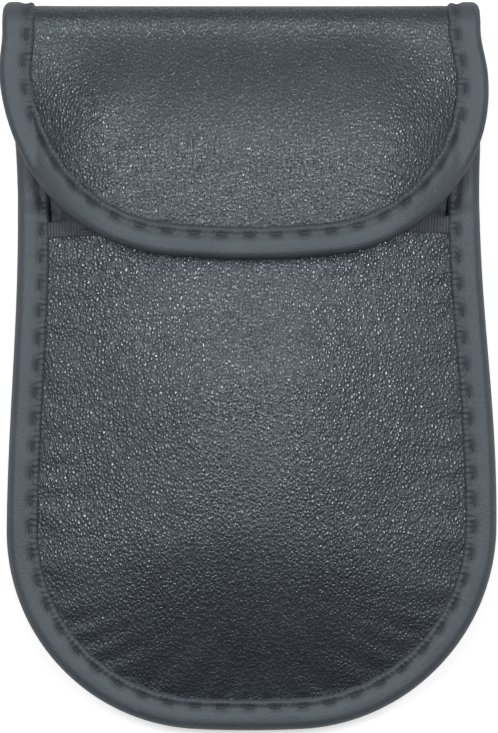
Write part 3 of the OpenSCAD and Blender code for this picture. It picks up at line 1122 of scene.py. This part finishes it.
@dataclass(frozen=True)
class Finish:
    """A finish: its colours, gloss and relief. The relief is in millimetres, the size in metres."""

    slot: Slot
    dark: Colour
    light: Colour
    roughness: float
    relief: float
    size: float
    sheen: float = 0.0
    sheen_roughness: float = 0.4
    metallic: float = 0.0
    gloss: float = 0.5
    # Colour of the painted shade in the creases of the grain and in the tape's stitch dimples.
    shade_tone: Colour = (0.005, 0.006, 0.008, 1.0)
    cast: Colour = (0.8, 0.91, 1.0, 1.0)

    def begin(self) -> tuple[bpy.types.Material, NodeKit, bpy.types.Node, Socket]:
        """Start the material.

        Returns:
            The material, its tree, its shader and its Object coordinates.
        """
        material = bpy.data.materials.new(self.slot.value)
        material.use_nodes = True
        material.diffuse_color = self.light
        kit = NodeKit(material.node_tree)
        out = kit.add("ShaderNodeOutputMaterial")
        constants = {
            "Metallic": self.metallic,
            "Sheen Weight": self.sheen,
            "Sheen Roughness": self.sheen_roughness,
            "Specular IOR Level": self.gloss,
            "Specular Tint": self.cast,
        }
        shader = kit.add("ShaderNodeBsdfPrincipled", constants)
        kit.put(shader.outputs[0], out.inputs[0])
        return material, kit, shader, kit.add("ShaderNodeTexCoord").outputs["Object"]

    def gloss_patches(self, kit: NodeKit, tone: Socket, spread: float) -> Socket:
        """Roughness that varies by a spread round the finish's own."""
        return kit.math("MULTIPLY_ADD", tone, spread, self.roughness - spread / 2.0)

    def finish(
        self, kit: NodeKit, shader: bpy.types.Node, colour: Socket, rough: Socket, height: Socket
    ) -> None:
        """Link colour, gloss and relief to the shader.

        Args:
            kit: The material's tree.
            shader: Its shader.
            colour: Socket of the colour.
            rough: Socket of the roughness.
            height: Socket of the relief's height.
        """
        relief = kit.add(
            "ShaderNodeBump", {"Height": height, "Strength": 1.0, "Distance": self.relief * MM}
        )
        kit.put(colour, shader.inputs["Base Color"])
        kit.put(rough, shader.inputs["Roughness"])
        kit.put(relief.outputs[0], shader.inputs["Normal"])


LEATHERETTE = Finish(
    Slot.LEATHERETTE,
    dark=(0.007, 0.0095, 0.013, 1.0),
    light=(0.028, 0.035, 0.044, 1.0),
    roughness=0.2,
    relief=0.07,
    size=0.00058,
    gloss=0.7,
)
TAPE = Finish(
    Slot.TAPE,
    dark=(0.018, 0.022, 0.028, 1.0),
    light=(0.045, 0.053, 0.062, 1.0),
    roughness=0.55,
    relief=0.03,
    size=0.0005,
)
RIBBON = Finish(
    Slot.RIBBON,
    dark=(0.012, 0.015, 0.019, 1.0),
    light=(0.085, 0.095, 0.11, 1.0),
    roughness=0.75,
    relief=0.11,
    size=0.00058,
    sheen=0.15,
)
CLOTH = Finish(
    Slot.CLOTH,
    dark=(0.014, 0.017, 0.021, 1.0),
    light=(0.12, 0.132, 0.15, 1.0),
    roughness=0.8,
    relief=0.1,
    size=0.00062,
    sheen=0.2,
)
SILVER = Finish(
    Slot.SILVER,
    dark=(0.2, 0.21, 0.22, 1.0),
    light=(0.5, 0.52, 0.54, 1.0),
    roughness=0.38,
    relief=0.04,
    size=0.00045,
    metallic=0.75,
)
THREAD = Finish(
    Slot.THREAD,
    dark=(0.006, 0.007, 0.009, 1.0),
    light=(0.03, 0.034, 0.04, 1.0),
    roughness=0.6,
    relief=0.05,
    size=0.0003,
    sheen=0.2,
)
PILE = Finish(
    Slot.PILE,
    dark=(0.004, 0.0045, 0.005, 1.0),
    light=(0.03, 0.032, 0.036, 1.0),
    roughness=0.85,
    relief=0.3,
    size=0.0009,
    sheen=0.4,
)


class Finishes:
    """All the pouch's materials."""

    leather_tones = (0.3, 0.7, (0.25, 0.85))
    tape_tones = (0.3, 0.7, (0.5, 1.0))
    ribbon_tones = (0.1, 0.95, (0.0, 1.0))
    fleck_range = (0.35, 0.7, (0.15, 1.0))
    tuft_range = (0.35, 0.65, (0.0, 1.0))
    dust_on_leather = (0.0034, 0.14)
    dust_on_tape = (0.003, 0.16)
    seam_dulling = 0.1
    crease_dulling = 0.3
    leather_spread = 0.12
    tape_spread = 0.14
    ribbon_spread = 0.1
    cloth_spread = 0.16
    thread_spread = 0.2
    tuft_spread = 0.1
    tuft_roughness = 0.8
    fleck_scale = 0.45
    rib_height = 0.4
    ribbon_patches = 0.7
    seam_shade = 0.5
    dimple_shade = 0.75
    inner_shade = 0.45
    wrinkle_rate = 5.4
    wrinkle_wander = 16.0
    wrinkle_height = 1.6

    def __init__(self) -> None:
        """Build the shared effects, then each material."""
        self.effects = Effects()
        self.made: dict[Slot, bpy.types.Material] = {
            Slot.LEATHERETTE: self._leatherette(LEATHERETTE),
            Slot.TAPE: self._tape(TAPE),
            Slot.RIBBON: self._ribbon(RIBBON),
            Slot.CLOTH: self._cloth(CLOTH),
            Slot.SILVER: self._cloth(SILVER),
            Slot.THREAD: self._thread(THREAD),
            Slot.PILE: self._pile(PILE),
        }

    @staticmethod
    def _effect(
        kit: NodeKit, group: bpy.types.NodeTree, place: Socket, size: float
    ) -> bpy.types.NodeOutputs:
        """Place a shared effect in a material.

        Args:
            kit: The material's tree.
            group: The effect.
            place: Object coordinates.
            size: Its size in metres.

        Returns:
            What the effect gives, by name.
        """
        node = kit.add("ShaderNodeGroup", node_tree=group)
        kit.put(place, node.inputs["Vector"])
        kit.put(size, node.inputs["Size"])
        return node.outputs

    def _dusted(
        self, kit: NodeKit, place: Socket, dust: tuple[float, float], colour: Socket
    ) -> Socket:
        """Lay specks of dust over a colour.

        Args:
            kit: The material's tree.
            place: Object coordinates.
            dust: Spacing of the specks in metres, and their strength.
            colour: The colour under them.

        Returns:
            The colour with the specks.
        """
        mask = self._effect(kit, self.effects.dust, place, dust[0])["Mask"]
        return kit.blend(kit.math("MULTIPLY", mask, dust[1]), colour, SPECK)

    def _leatherette(self, look: Finish) -> bpy.types.Material:
        """Make pebbled leatherette with painted shade in the creases between pebbles, duller and
        darker where the seam draws it in.

        Args:
            look: Its finish.

        Returns:
            The material.
        """
        material, kit, shader, place = look.begin()
        grain = self._effect(kit, self.effects.pebble, place, look.size)
        seam = kit.painted("seam")
        tone = kit.remap(grain["Tone"], *self.leather_tones)
        colour = kit.blend(tone, look.dark, look.light)
        # Painted shade: the creases between pebbles are darkened towards the shade tone.
        crease_shaded = kit.blend(grain["Crease"], colour, look.shade_tone)
        drawn = kit.blend(kit.math("MULTIPLY", seam, self.seam_shade), crease_shaded, look.dark)
        dusty = self._dusted(kit, place, self.dust_on_leather, drawn)
        rough = look.gloss_patches(kit, grain["Tone"], self.leather_spread)
        rough = kit.math("MULTIPLY_ADD", grain["Crease"], self.crease_dulling, rough)
        rough = kit.math("MULTIPLY_ADD", seam, self.seam_dulling, rough)
        look.finish(kit, shader, dusty, rough, grain["Height"])
        return material

    def _tape(self, look: Finish) -> bpy.types.Material:
        """Make smooth tape with a very fine grain, wrinkled and with painted shade inside the seam
        and in its stitch dimples.

        Args:
            look: Its finish.

        Returns:
            The material.
        """
        material, kit, shader, place = look.begin()
        grain = self._effect(kit, self.effects.pebble, place, look.size)
        dimple, inner, way = (kit.painted(name) for name in ("dimple", "inner", "way"))
        tone = kit.remap(grain["Tone"], *self.tape_tones)
        colour = kit.blend(tone, look.dark, look.light)
        shaded = kit.blend(kit.math("MULTIPLY", inner, self.inner_shade), colour, look.dark)
        # Painted shade in the stitch dimples, darkened towards the shade tone.
        dimple_shaded = kit.blend(kit.math("MULTIPLY", dimple, self.dimple_shade), shaded, look.shade_tone)
        dusty = self._dusted(kit, place, self.dust_on_tape, dimple_shaded)
        rough = look.gloss_patches(kit, grain["Tone"], self.tape_spread)
        along = kit.math("MULTIPLY", way, self.wrinkle_rate)
        wander = kit.math("MULTIPLY_ADD", grain["Tone"], self.wrinkle_wander, along)
        strength = kit.math("MULTIPLY", inner, self.wrinkle_height)
        wrinkle = kit.math("MULTIPLY", kit.math("SINE", wander), strength)
        height = kit.math("ADD", wrinkle, grain["Height"])
        look.finish(kit, shader, dusty, rough, height)
        return material

    def _ribbon(self, look: Finish) -> bpy.types.Material:
        """Make ribbed ribbon, with ribs across its length and uneven threads.

        Args:
            look: Its finish.

        Returns:
            The material.
        """
        material, kit, shader, place = look.begin()
        weave = self._effect(kit, self.effects.weave, place, look.size)
        along = kit.add("ShaderNodeSeparateXYZ", {0: place}).outputs[0]
        ribs = kit.math("SINE", kit.math("MULTIPLY", along, 2.0 * math.pi / look.size))
        threads = kit.math("MULTIPLY", weave["Height"], self.rib_height)
        height = kit.math("MULTIPLY_ADD", ribs, self.rib_height, threads)
        patches = kit.math("MULTIPLY", weave["Tone"], self.ribbon_patches)
        tone = kit.math("MULTIPLY_ADD", height, 0.5, patches)
        colour = kit.blend(kit.remap(tone, *self.ribbon_tones), look.dark, look.light)
        rough = look.gloss_patches(kit, weave["Tone"], self.ribbon_spread)
        look.finish(kit, shader, colour, rough, height)
        return material

    def _cloth(self, look: Finish) -> bpy.types.Material:
        """Make plain woven cloth with flecks.

        Args:
            look: Its finish.

        Returns:
            The material.
        """
        material, kit, shader, place = look.begin()
        weave = self._effect(kit, self.effects.weave, place, look.size)
        flecks = kit.noise(place, self.fleck_scale / look.size, detail=2.0).outputs[0]
        strength = kit.remap(flecks, *self.fleck_range)
        tone = kit.math("MULTIPLY", weave["Height"], strength)
        colour = kit.blend(tone, look.dark, look.light)
        rough = look.gloss_patches(kit, weave["Tone"], self.cloth_spread)
        look.finish(kit, shader, colour, rough, weave["Height"])
        return material

    def _thread(self, look: Finish) -> bpy.types.Material:
        """Make twisted sewing thread.

        Args:
            look: Its finish.

        Returns:
            The material.
        """
        material, kit, shader, place = look.begin()
        twist = self._effect(kit, self.effects.weave, place, look.size)
        colour = kit.blend(twist["Tone"], look.dark, look.light)
        rough = look.gloss_patches(kit, twist["Tone"], self.thread_spread)
        look.finish(kit, shader, colour, rough, twist["Height"])
        return material

    def _pile(self, look: Finish) -> bpy.types.Material:
        """Make dense short pile.

        Args:
            look: Its finish.

        Returns:
            The material.
        """
        material, kit, shader, place = look.begin()
        tufts = kit.noise(place, 1.0 / look.size, detail=6.0)
        kit.put(self.tuft_roughness, tufts.inputs["Roughness"])
        tuft = tufts.outputs[0]
        colour = kit.blend(kit.remap(tuft, *self.tuft_range), look.dark, look.light)
        rough = kit.math("MULTIPLY_ADD", tuft, self.tuft_spread, look.roughness)
        look.finish(kit, shader, colour, rough, tuft)
        return material


class Dresser:
    """Gives each piece its finish and its body, and hides the frame's nodes that it stands for."""

    bend_from = (0.0, 63.5 * MM, 0.0)
    bend_to = (0.0, 66.5 * MM, 0.0)
    cut_share = 0.9

    def __init__(self, finishes: Finishes) -> None:
        """Keep the finishes."""
        self.finishes = finishes

    def dress(
        self, made: bpy.types.Object, slot: Slot, follows: Follows, nodes: Sequence[str]
    ) -> None:
        """Dress one piece.

        Args:
            made: The piece.
            slot: Its material slot.
            follows: How it moves.
            nodes: The frame's nodes that it stands for.
        """
        made.data.materials.clear()
        made.data.materials.append(self.finishes.made[slot])
        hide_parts(*nodes)
        if follows is Follows.BACK_EDGE:
            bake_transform(made)
        elif follows is Follows.FLAP_EDGE:
            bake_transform(made)
        else:
            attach(made, follows.value)

    def declare_sheet(self, made: bpy.types.Object) -> None:
        """Work out a thin layer's cut size as a sheet from its own surface, and log it.

        Args:
            made: The piece.
        """
        area = sum(p.area for p in made.data.polygons) / 2.0
        points = np.array([v.co for v in made.data.vertices])
        width, length = (float(np.ptp(points[:, i])) for i in (0, 1))
        grow = math.sqrt(max(1.0, area / (self.cut_share * width * length)))
        flat = (width * grow, length * grow)
        cut = [side / MM for side in flat]
        LOG.info("%s: cut %.1f by %.1f mm, %.0f mm2", made.name, *cut, area / MM**2)


@dataclass
class BackWall:
    """Back of the pouch, up to the middle of the fold."""

    form: PouchForm
    step: float = 1.05
    leather_t: float = 1.85
    lining_low: float = 1.9
    pucker: float = -0.16

    def build(self, dresser: Dresser) -> None:
        """Build its leatherette with the padding behind it, and its silver lining.

        Args:
            dresser: Gives the pieces their finishes.
        """
        form = self.form
        fill = Fill(form, form.body, form.on_back, form.fold_top, self.step)
        leather = fill.layer("back_leather", 0.0, self.leather_t, self.pucker).make()
        nodes = ["back_panel", "back_padding", "back_shield"]
        dresser.dress(leather, Slot.LEATHERETTE, Follows.BACK_EDGE, nodes)
        lining = fill.layer("back_silver", self.lining_low, form.back_t).make()
        dresser.dress(lining, Slot.SILVER, Follows.BACK_EDGE, ["back_lining"])
        dresser.declare_sheet(lining)


@dataclass
class FlapWall:
    """Flap of the pouch, from the middle of the fold."""

    form: PouchForm
    step: float = 0.95
    leather_low: float = 0.35
    lining_t: float = 0.3
    pucker: float = 0.16

    def build(self, dresser: Dresser) -> None:
        """Build its leatherette with the padding behind it, and its silver lining.

        Args:
            dresser: Gives the pieces their finishes.
        """
        form = self.form
        fill = Fill(form, form.flap, form.on_flap, form.fold_top, self.step)
        leather = fill.layer("flap_leather", self.leather_low, form.back_t, self.pucker).make()
        layers = ("panel", "padding", "shield")
        nodes = [f"{part}_{layer}" for part in ("flap", "fold") for layer in layers]
        dresser.dress(leather, Slot.LEATHERETTE, Follows.FLAP_EDGE, nodes)
        lining = fill.layer("flap_silver", 0.0, self.lining_t).make()
        dresser.dress(lining, Slot.SILVER, Follows.FLAP_EDGE, ["flap_lining", "fold_lining"])
        dresser.declare_sheet(lining)


@dataclass
class Hem:
    """Ribbon folded over a wall's top edge, with its stitches."""

    form: PouchForm
    name: str
    top_y: float
    wall_t: float
    width: float = 2.8
    thick: float = 0.42
    step: float = 1.0
    under_tape: float = 0.5
    end_reach: float = 5.0
    end_share: float = 0.2
    stitch_rise: float = 0.8

    def section(self) -> np.ndarray:
        """Lay out the ribbon's section.

        Returns:
            Its points' places along the wall, from the wall's edge, and their heights over it.
        """
        t, w, wall = self.thick, self.width, self.wall_t
        points = [
            (-w, wall), (-w, wall + 0.7 * t), (-0.93 * w, wall + t), (-0.5 * w, wall + 0.92 * t),
            (-0.12 * w, wall + t), (0.4 * t, wall + 0.72 * t), (0.95 * t, wall + 0.1),
            (t, wall / 2.0), (0.95 * t, -0.1), (0.4 * t, -0.72 * t), (-0.12 * w, -t),
            (-0.93 * w, -t), (-w, -0.7 * t), (-w, 0.0), (0.0, 0.0), (0.0, wall),
        ]  # fmt: skip
        return np.array(points).T

    def build(
        self, dresser: Dresser, stitch: Stitch, place: Place, nodes: tuple[str, str]
    ) -> None:
        """Build the ribbon and its stitches.

        Args:
            dresser: Gives the pieces their finishes.
            stitch: The stitch to copy.
            place: Function that puts flat points on the wall.
            nodes: The frame's ribbon and its stitches.
        """
        form = self.form
        inside = float(form.body.half_at(np.array(self.top_y))) - form.tape_w
        reach = inside + self.under_tape
        x = np.linspace(reach, -reach, int(2 * reach / self.step) + 1)[:, None]
        v, h = self.section()[:, None, :]
        slack = unit((inside - np.abs(x)) / self.end_reach)
        h = np.where(h < 0.0, h * mix(self.end_share, 1.0, slack), h)
        x, v, h = np.broadcast_arrays(x, self.top_y + v, h)
        points = place(x, v, h).reshape(-1, 3)
        ribbon = Piece(self.name, points, tube_faces(*x.shape)).make()
        dresser.dress(ribbon, Slot.RIBBON, Follows.POUCH, nodes[:1])
        line = self.top_y - self.width / 2.0
        face = self.wall_t + self.thick

        def on_hem(way: np.ndarray, side: np.ndarray, up: np.ndarray) -> np.ndarray:
            """Place points along the hem's seam."""
            return place(way, line + side, face + up * self.stitch_rise)

        ways = stitch_ways(reach - form.pitch, form.pitch)
        stitches = stitch.seam(f"{self.name}_thread", ways, on_hem).make()
        dresser.dress(stitches, Slot.THREAD, Follows.POUCH, nodes[1:])


@dataclass
class Divider:
    """Wall between the two pockets."""

    form: PouchForm
    step: float = 1.3
    cloth_low: float = 0.35
    lining_t: float = 0.3

    def build(self, dresser: Dresser, stitch: Stitch) -> None:
        """Build its woven cloth, its silver lining and the ribbon over its top edge.

        Args:
            dresser: Gives the pieces their finishes.
            stitch: The stitch to copy.
        """
        form = self.form
        fill = Fill(form, form.body, form.on_divider, form.divider_top_y, self.step)
        cloth = fill.layer("divider_weave", self.cloth_low, form.divider_t).make()
        dresser.dress(cloth, Slot.CLOTH, Follows.POUCH, ["divider_cloth", "divider_shield"])
        dresser.declare_sheet(cloth)
        lining = fill.layer("divider_silver", 0.0, self.lining_t).make()
        dresser.dress(lining, Slot.SILVER, Follows.POUCH, ["divider_lining"])
        dresser.declare_sheet(lining)
        hem = Hem(form, "divider_hem", form.divider_top_y, form.divider_t)
        nodes = ("divider_ribbon", "divider_ribbon_stitches")
        hem.build(dresser, stitch, form.on_divider, nodes)


@dataclass
class FrontWall:
    """Front wall of the front pocket."""

    form: PouchForm
    step: float = 0.95
    leather_low: float = 0.3
    lining_t: float = 0.25
    pucker: float = 0.2

    def build(self, dresser: Dresser, stitch: Stitch) -> None:
        """Build its leatherette, its cloth lining and the ribbon over its mouth.

        Args:
            dresser: Gives the pieces their finishes.
            stitch: The stitch to copy.
        """
        form = self.form
        fill = Fill(form, form.body, form.on_front, form.mouth_y, self.step)
        leather = fill.layer("front_leather", self.leather_low, form.front_t, self.pucker).make()
        dresser.dress(leather, Slot.LEATHERETTE, Follows.POUCH, ["front_panel"])
        dresser.declare_sheet(leather)
        lining = fill.layer("front_lining_cloth", 0.0, self.lining_t).make()
        dresser.dress(lining, Slot.CLOTH, Follows.POUCH, ["front_lining"])
        dresser.declare_sheet(lining)
        hem = Hem(form, "mouth_hem", form.mouth_y, form.front_t)
        hem.build(dresser, stitch, form.on_front, ("mouth_ribbon", "mouth_ribbon_stitches"))


@dataclass(frozen=True)
class Edge:
    """Edge that a tape binds: its outline, the surface and the layers there, and its nodes."""

    name: str
    outline: Tongue
    place: Place
    stack: Profile
    follows: Follows
    tape_nodes: tuple[str, ...]
    stitch_nodes: tuple[str, ...]


@dataclass
class Bindings:
    """Tape round the body's edge and round the flap's, each with its stitches."""

    form: PouchForm
    step: float = 0.62
    stitch_gap: float = 0.05

    def edges(self) -> tuple[Edge, Edge]:
        """List the bound edges.

        Returns:
            The body's edge and the flap's.
        """
        form = self.form
        body = Edge(
            "body",
            form.body,
            form.on_back,
            form.body_stack,
            Follows.BACK_EDGE,
            ("body_binding",),
            ("body_binding_stitches",),
        )
        flap = Edge(
            "flap",
            form.flap,
            form.on_flap,
            form.flap_stack,
            Follows.FLAP_EDGE,
            ("flap_binding", "fold_binding_left", "fold_binding_right"),
            ("flap_binding_stitches", "fold_binding_stitches"),
        )
        return body, flap

    def build(self, dresser: Dresser, stitch: Stitch) -> None:
        """Build both tapes and both seams.

        Args:
            dresser: Gives the pieces their finishes.
            stitch: The stitch to copy.
        """
        form, tape = self.form, TapeForm(self.form)
        for edge in self.edges():
            stations = edge.outline.stations(form.fold_top, self.step, form.seam)
            made = tape.build(f"{edge.name}_tape", stations, edge.place, edge.stack).make()
            dresser.dress(made, Slot.TAPE, edge.follows, edge.tape_nodes)
            stitches = self.stitches(edge, tape, stations, stitch).make()
            dresser.dress(stitches, Slot.THREAD, edge.follows, edge.stitch_nodes)

    def stitches(
        self, edge: Edge, tape: TapeForm, stations: Stations, stitch: Stitch
    ) -> Piece:
        """Copy the stitch along a tape's seam, on both faces.

        Args:
            edge: The bound edge.
            tape: The tape's section.
            stations: Places along the edge.
            stitch: The stitch.

        Returns:
            Both rows as one piece.
        """
        form = self.form
        ways = stitch_ways(stations.way[-1] - tape.stitch_len / 2.0, form.pitch)

        def over(way: np.ndarray, up: np.ndarray) -> np.ndarray:
            """Height over the bound layers."""
            return tape.lift(np.full_like(way, form.seam), way) + self.stitch_gap + up

        def above(way: np.ndarray, side: np.ndarray, up: np.ndarray) -> np.ndarray:
            """Place points on the upper face's seam."""
            x, v = stations.beside(way, form.seam + side)
            return edge.place(x, v, edge.stack(v) + over(way, up))

        def below(way: np.ndarray, side: np.ndarray, up: np.ndarray) -> np.ndarray:
            """Place points on the lower face's seam."""
            x, v = stations.beside(way, form.seam + side)
            return edge.place(x, v, -over(way, up))

        name = f"{edge.name}_thread"
        upper, lower = stitch.seam(name, ways, above), stitch.seam(name, ways, below)
        lower.flip()
        return Piece.joined(name, [upper, lower])


@dataclass
class Closure:
    """Hook and loop strips between the flap and the divider."""

    form: PouchForm
    width: float = 40.0
    height: float = 14.0
    thick: float = 1.6
    centre_y: float = 43.5
    loop_z: float = 12.7
    hook_z: float = 14.6
    margin: float = 1.5
    rounding: float = 0.45
    rounding_steps: int = 3
    rows: int = 8
    end_row: float = 1.0
    smooth_deg: float = 50.0
    stitch_gap: float = 0.02

    def strip(self, name: str, z: float) -> bpy.types.Object:
        """Model one strip from a block with rounded corners, bent with the flap.

        Args:
            name: Name of the piece.
            z: Height of its underside in millimetres.

        Returns:
            The strip.
        """
        centre = (0.0, self.centre_y * MM, (z + self.thick / 2.0) * MM)
        bpy.ops.object.select_all(action="DESELECT")
        bpy.ops.mesh.primitive_cube_add(size=1.0, location=centre)
        made = bpy.context.object
        made.name = made.data.name = name
        made.scale = (self.width * MM, self.height * MM, self.thick * MM)
        bpy.ops.object.transform_apply(location=True, rotation=True, scale=True)
        soften = made.modifiers.new("soften", "BEVEL")
        soften.width, soften.segments = self.rounding * MM, self.rounding_steps
        bpy.ops.object.modifier_apply(modifier=soften.name)
        bpy.ops.object.mode_set(mode="EDIT")
        for i in range(1, self.rows):
            y = centre[1] + (i / self.rows - 0.5) * (self.height - self.end_row) * MM
            bpy.ops.mesh.select_all(action="SELECT")
            bpy.ops.mesh.bisect(plane_co=(0.0, y, 0.0), plane_no=(0.0, 1.0, 0.0))
        bpy.ops.object.mode_set(mode="OBJECT")
        points = np.array([v.co for v in made.data.vertices])
        points[:, 2] -= self.form.flap_drop(points[:, 1] / MM) * MM
        points[:, 0] += LEAN.at(points[:, 1] / MM) * MM
        made.data.vertices.foreach_set("co", points.ravel())
        made.data.update()
        bpy.ops.object.shade_smooth_by_angle(angle=math.radians(self.smooth_deg))
        LOG.info("%s: %d faces", name, len(made.data.polygons))
        return made

    def on_row(self, row: float, z: float, up: float) -> Place:
        """Make the function that places one row's stitches.

        Args:
            row: -1 for the strip's lower side, and 1 for its upper one.
            z: Height of the strip's face in millimetres.
            up: 1 if that face looks up, and -1 if it looks down.

        Returns:
            A function that puts points on the row, from their places along, beside and over it.
        """
        row_y = self.centre_y + row * (self.height / 2.0 - self.margin)

        def on_face(way: np.ndarray, side: np.ndarray, over: np.ndarray) -> np.ndarray:
            """Place points on the strip's face."""
            y, lift = row_y + side, up * (over + self.stitch_gap)
            return np.stack([way, y, z - self.form.flap_drop(y) + lift], -1)

        return on_face

    def stitches(self, name: str, z: float, up: float, stitch: Stitch) -> Piece:
        """Copy the stitch along a strip's two long sides.

        Args:
            name: Name of the piece.
            z: Height of the strip's face in millimetres.
            up: 1 if that face looks up, and -1 if it looks down.
            stitch: The stitch.

        Returns:
            Both rows as one piece.
        """
        ways = stitch_ways(self.width / 2.0 - self.margin - self.form.pitch / 2.0, self.form.pitch)
        places = [self.on_row(row, z, up) for row in (-1.0, 1.0)]
        return Piece.joined(name, [stitch.seam(name, ways, place) for place in places])

    def build(self, dresser: Dresser, stitch: Stitch) -> None:
        """Build both strips and their stitches.

        Args:
            dresser: Gives the pieces their finishes.
            stitch: The stitch to copy.
        """
        loop = self.strip("loop_pile", self.loop_z)
        dresser.dress(loop, Slot.PILE, Follows.POUCH, ["loop_strip"])
        hook = self.strip("hook_pile", self.hook_z)
        dresser.dress(hook, Slot.PILE, Follows.FLAP, ["hook_strip"])
        for name, z, up, follows in (
            ("loop", self.loop_z + self.thick, 1.0, Follows.POUCH),
            ("hook", self.hook_z, -1.0, Follows.FLAP),
        ):
            made = self.stitches(f"{name}_thread", z, up, stitch).make()
            dresser.dress(made, Slot.THREAD, follows, [f"{name}_strip_stitches"])


@dataclass(frozen=True)
class Lamp:
    """Soft lamp: its place and size in metres, and its power in watts."""

    name: str
    place: tuple[float, float, float]
    size: tuple[float, float]
    power: float

    def hang(self) -> None:
        """Hang the lamp so that it points at the object, with its long side along Y."""
        data = bpy.data.lights.new(self.name, "AREA")
        data.shape = "RECTANGLE"
        data.size, data.size_y, data.energy = *self.size, self.power
        lamp = bpy.data.objects.new(self.name, data)
        bpy.context.scene.collection.objects.link(lamp)
        x, y, z = self.place
        lamp.location = self.place
        lamp.rotation_euler = (-math.atan2(y, math.hypot(x, z)), math.atan2(x, z), 0.0)


@dataclass
class Studio:
    """Pale floor, soft lamps and the camera, in metres."""

    lens: float = 200.0
    view_height: float = 0.14096
    centre: tuple[float, float] = (0.00029, 0.0001)
    plane_z: float = 0.007
    clip: tuple[float, float] = (0.01, 20.0)
    floor_size: float = 12.0
    floor_colour: Colour = (0.7, 0.7, 0.7, 1.0)
    floor_glow: float = 0.45
    overhead: tuple[float, float, tuple[float, float]] = (0.15, 0.6, (0.25, 0.6))
    near_side: tuple[float, float, tuple[float, float]] = (-0.55, -0.08, (0.12, 1.0))
    lamps: tuple[Lamp, ...] = (
        Lamp("left", (-0.27, 0.11, 0.6), (0.09, 0.3), 2.5),
        Lamp("right", (0.285, 0.12, 0.6), (0.09, 0.3), 2.5),
        Lamp("far", (0.0, 0.62, 0.5), (0.7, 0.2), 0.6),
    )

    def build(self) -> None:
        """Build the floor, the world, the lamps and the camera."""
        bpy.context.scene.view_settings.view_transform = "Standard"
        self._floor()
        self._world()
        for lamp in self.lamps:
            lamp.hang()
        self._camera()

    def _camera(self) -> None:
        """Set the camera straight above the pouch."""
        camera = bpy.data.cameras.new("camera")
        camera.lens = self.lens
        camera.clip_start, camera.clip_end = self.clip
        eye = bpy.data.objects.new("camera", camera)
        bpy.context.scene.collection.objects.link(eye)
        distance = self.lens * self.view_height / camera.sensor_width
        eye.location = (*self.centre, self.plane_z + distance)
        bpy.context.scene.camera = eye

    def _floor(self) -> None:
        """Lay a wide pale floor that the camera sees as white, with the object's shadow."""
        bpy.ops.object.select_all(action="DESELECT")
        bpy.ops.mesh.primitive_plane_add(size=self.floor_size, location=(0.0, 0.0, 0.0))
        floor = bpy.context.object
        floor.name = "floor"
        material = bpy.data.materials.new("floor")
        material.use_nodes = True
        kit = NodeKit(material.node_tree)
        out = kit.add("ShaderNodeOutputMaterial")
        matt = kit.add("ShaderNodeBsdfDiffuse", {"Color": self.floor_colour})
        seen = kit.add("ShaderNodeLightPath").outputs["Is Camera Ray"]
        strength = kit.math("MULTIPLY", seen, self.floor_glow)
        glow = kit.add("ShaderNodeEmission", {"Color": WHITE, "Strength": strength})
        both = kit.add("ShaderNodeAddShader", {0: matt.outputs[0], 1: glow.outputs[0]})
        kit.put(both.outputs[0], out.inputs[0])
        floor.data.materials.append(material)
        floor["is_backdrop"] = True

    def _world(self) -> None:
        """Make the surroundings bright overhead and dim low down and on the near side."""
        world = bpy.data.worlds.new("studio")
        bpy.context.scene.world = world
        world.use_nodes = True
        kit = NodeKit(world.node_tree)
        out = kit.add("ShaderNodeOutputWorld")
        way = kit.add("ShaderNodeTexCoord").outputs["Generated"]
        parts = kit.add("ShaderNodeSeparateXYZ", {0: way}).outputs
        height = kit.remap(parts[2], *self.overhead)
        near = kit.remap(parts[1], *self.near_side)
        seen = kit.add("ShaderNodeLightPath").outputs["Is Camera Ray"]
        shown = kit.math("MAXIMUM", kit.math("MULTIPLY", height, near), seen)
        sky = kit.add("ShaderNodeBackground", {"Color": WHITE, "Strength": shown})
        kit.put(sky.outputs[0], out.inputs[0])


def main() -> None:
    """Build the studio and the pouch."""
    form = PouchForm()
    Studio().build()
    dresser = Dresser(Finishes())
    stitch = Stitch()
    BackWall(form).build(dresser)
    Divider(form).build(dresser, stitch)
    FrontWall(form).build(dresser, stitch)
    FlapWall(form).build(dresser)
    Bindings(form).build(dresser, stitch)
    Closure(form).build(dresser, stitch)
    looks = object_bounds()
    boxes = {
        "cad": [list(corner) for corner in CAD_BOX],
        "visual": [list(corner) for corner in looks],
    }
    for name, corners in boxes.items():
        LOG.info("%s box in mm: %s", name, [[round(c / MM, 2) for c in p] for p in corners])


if __name__ == "__main__":
    main()
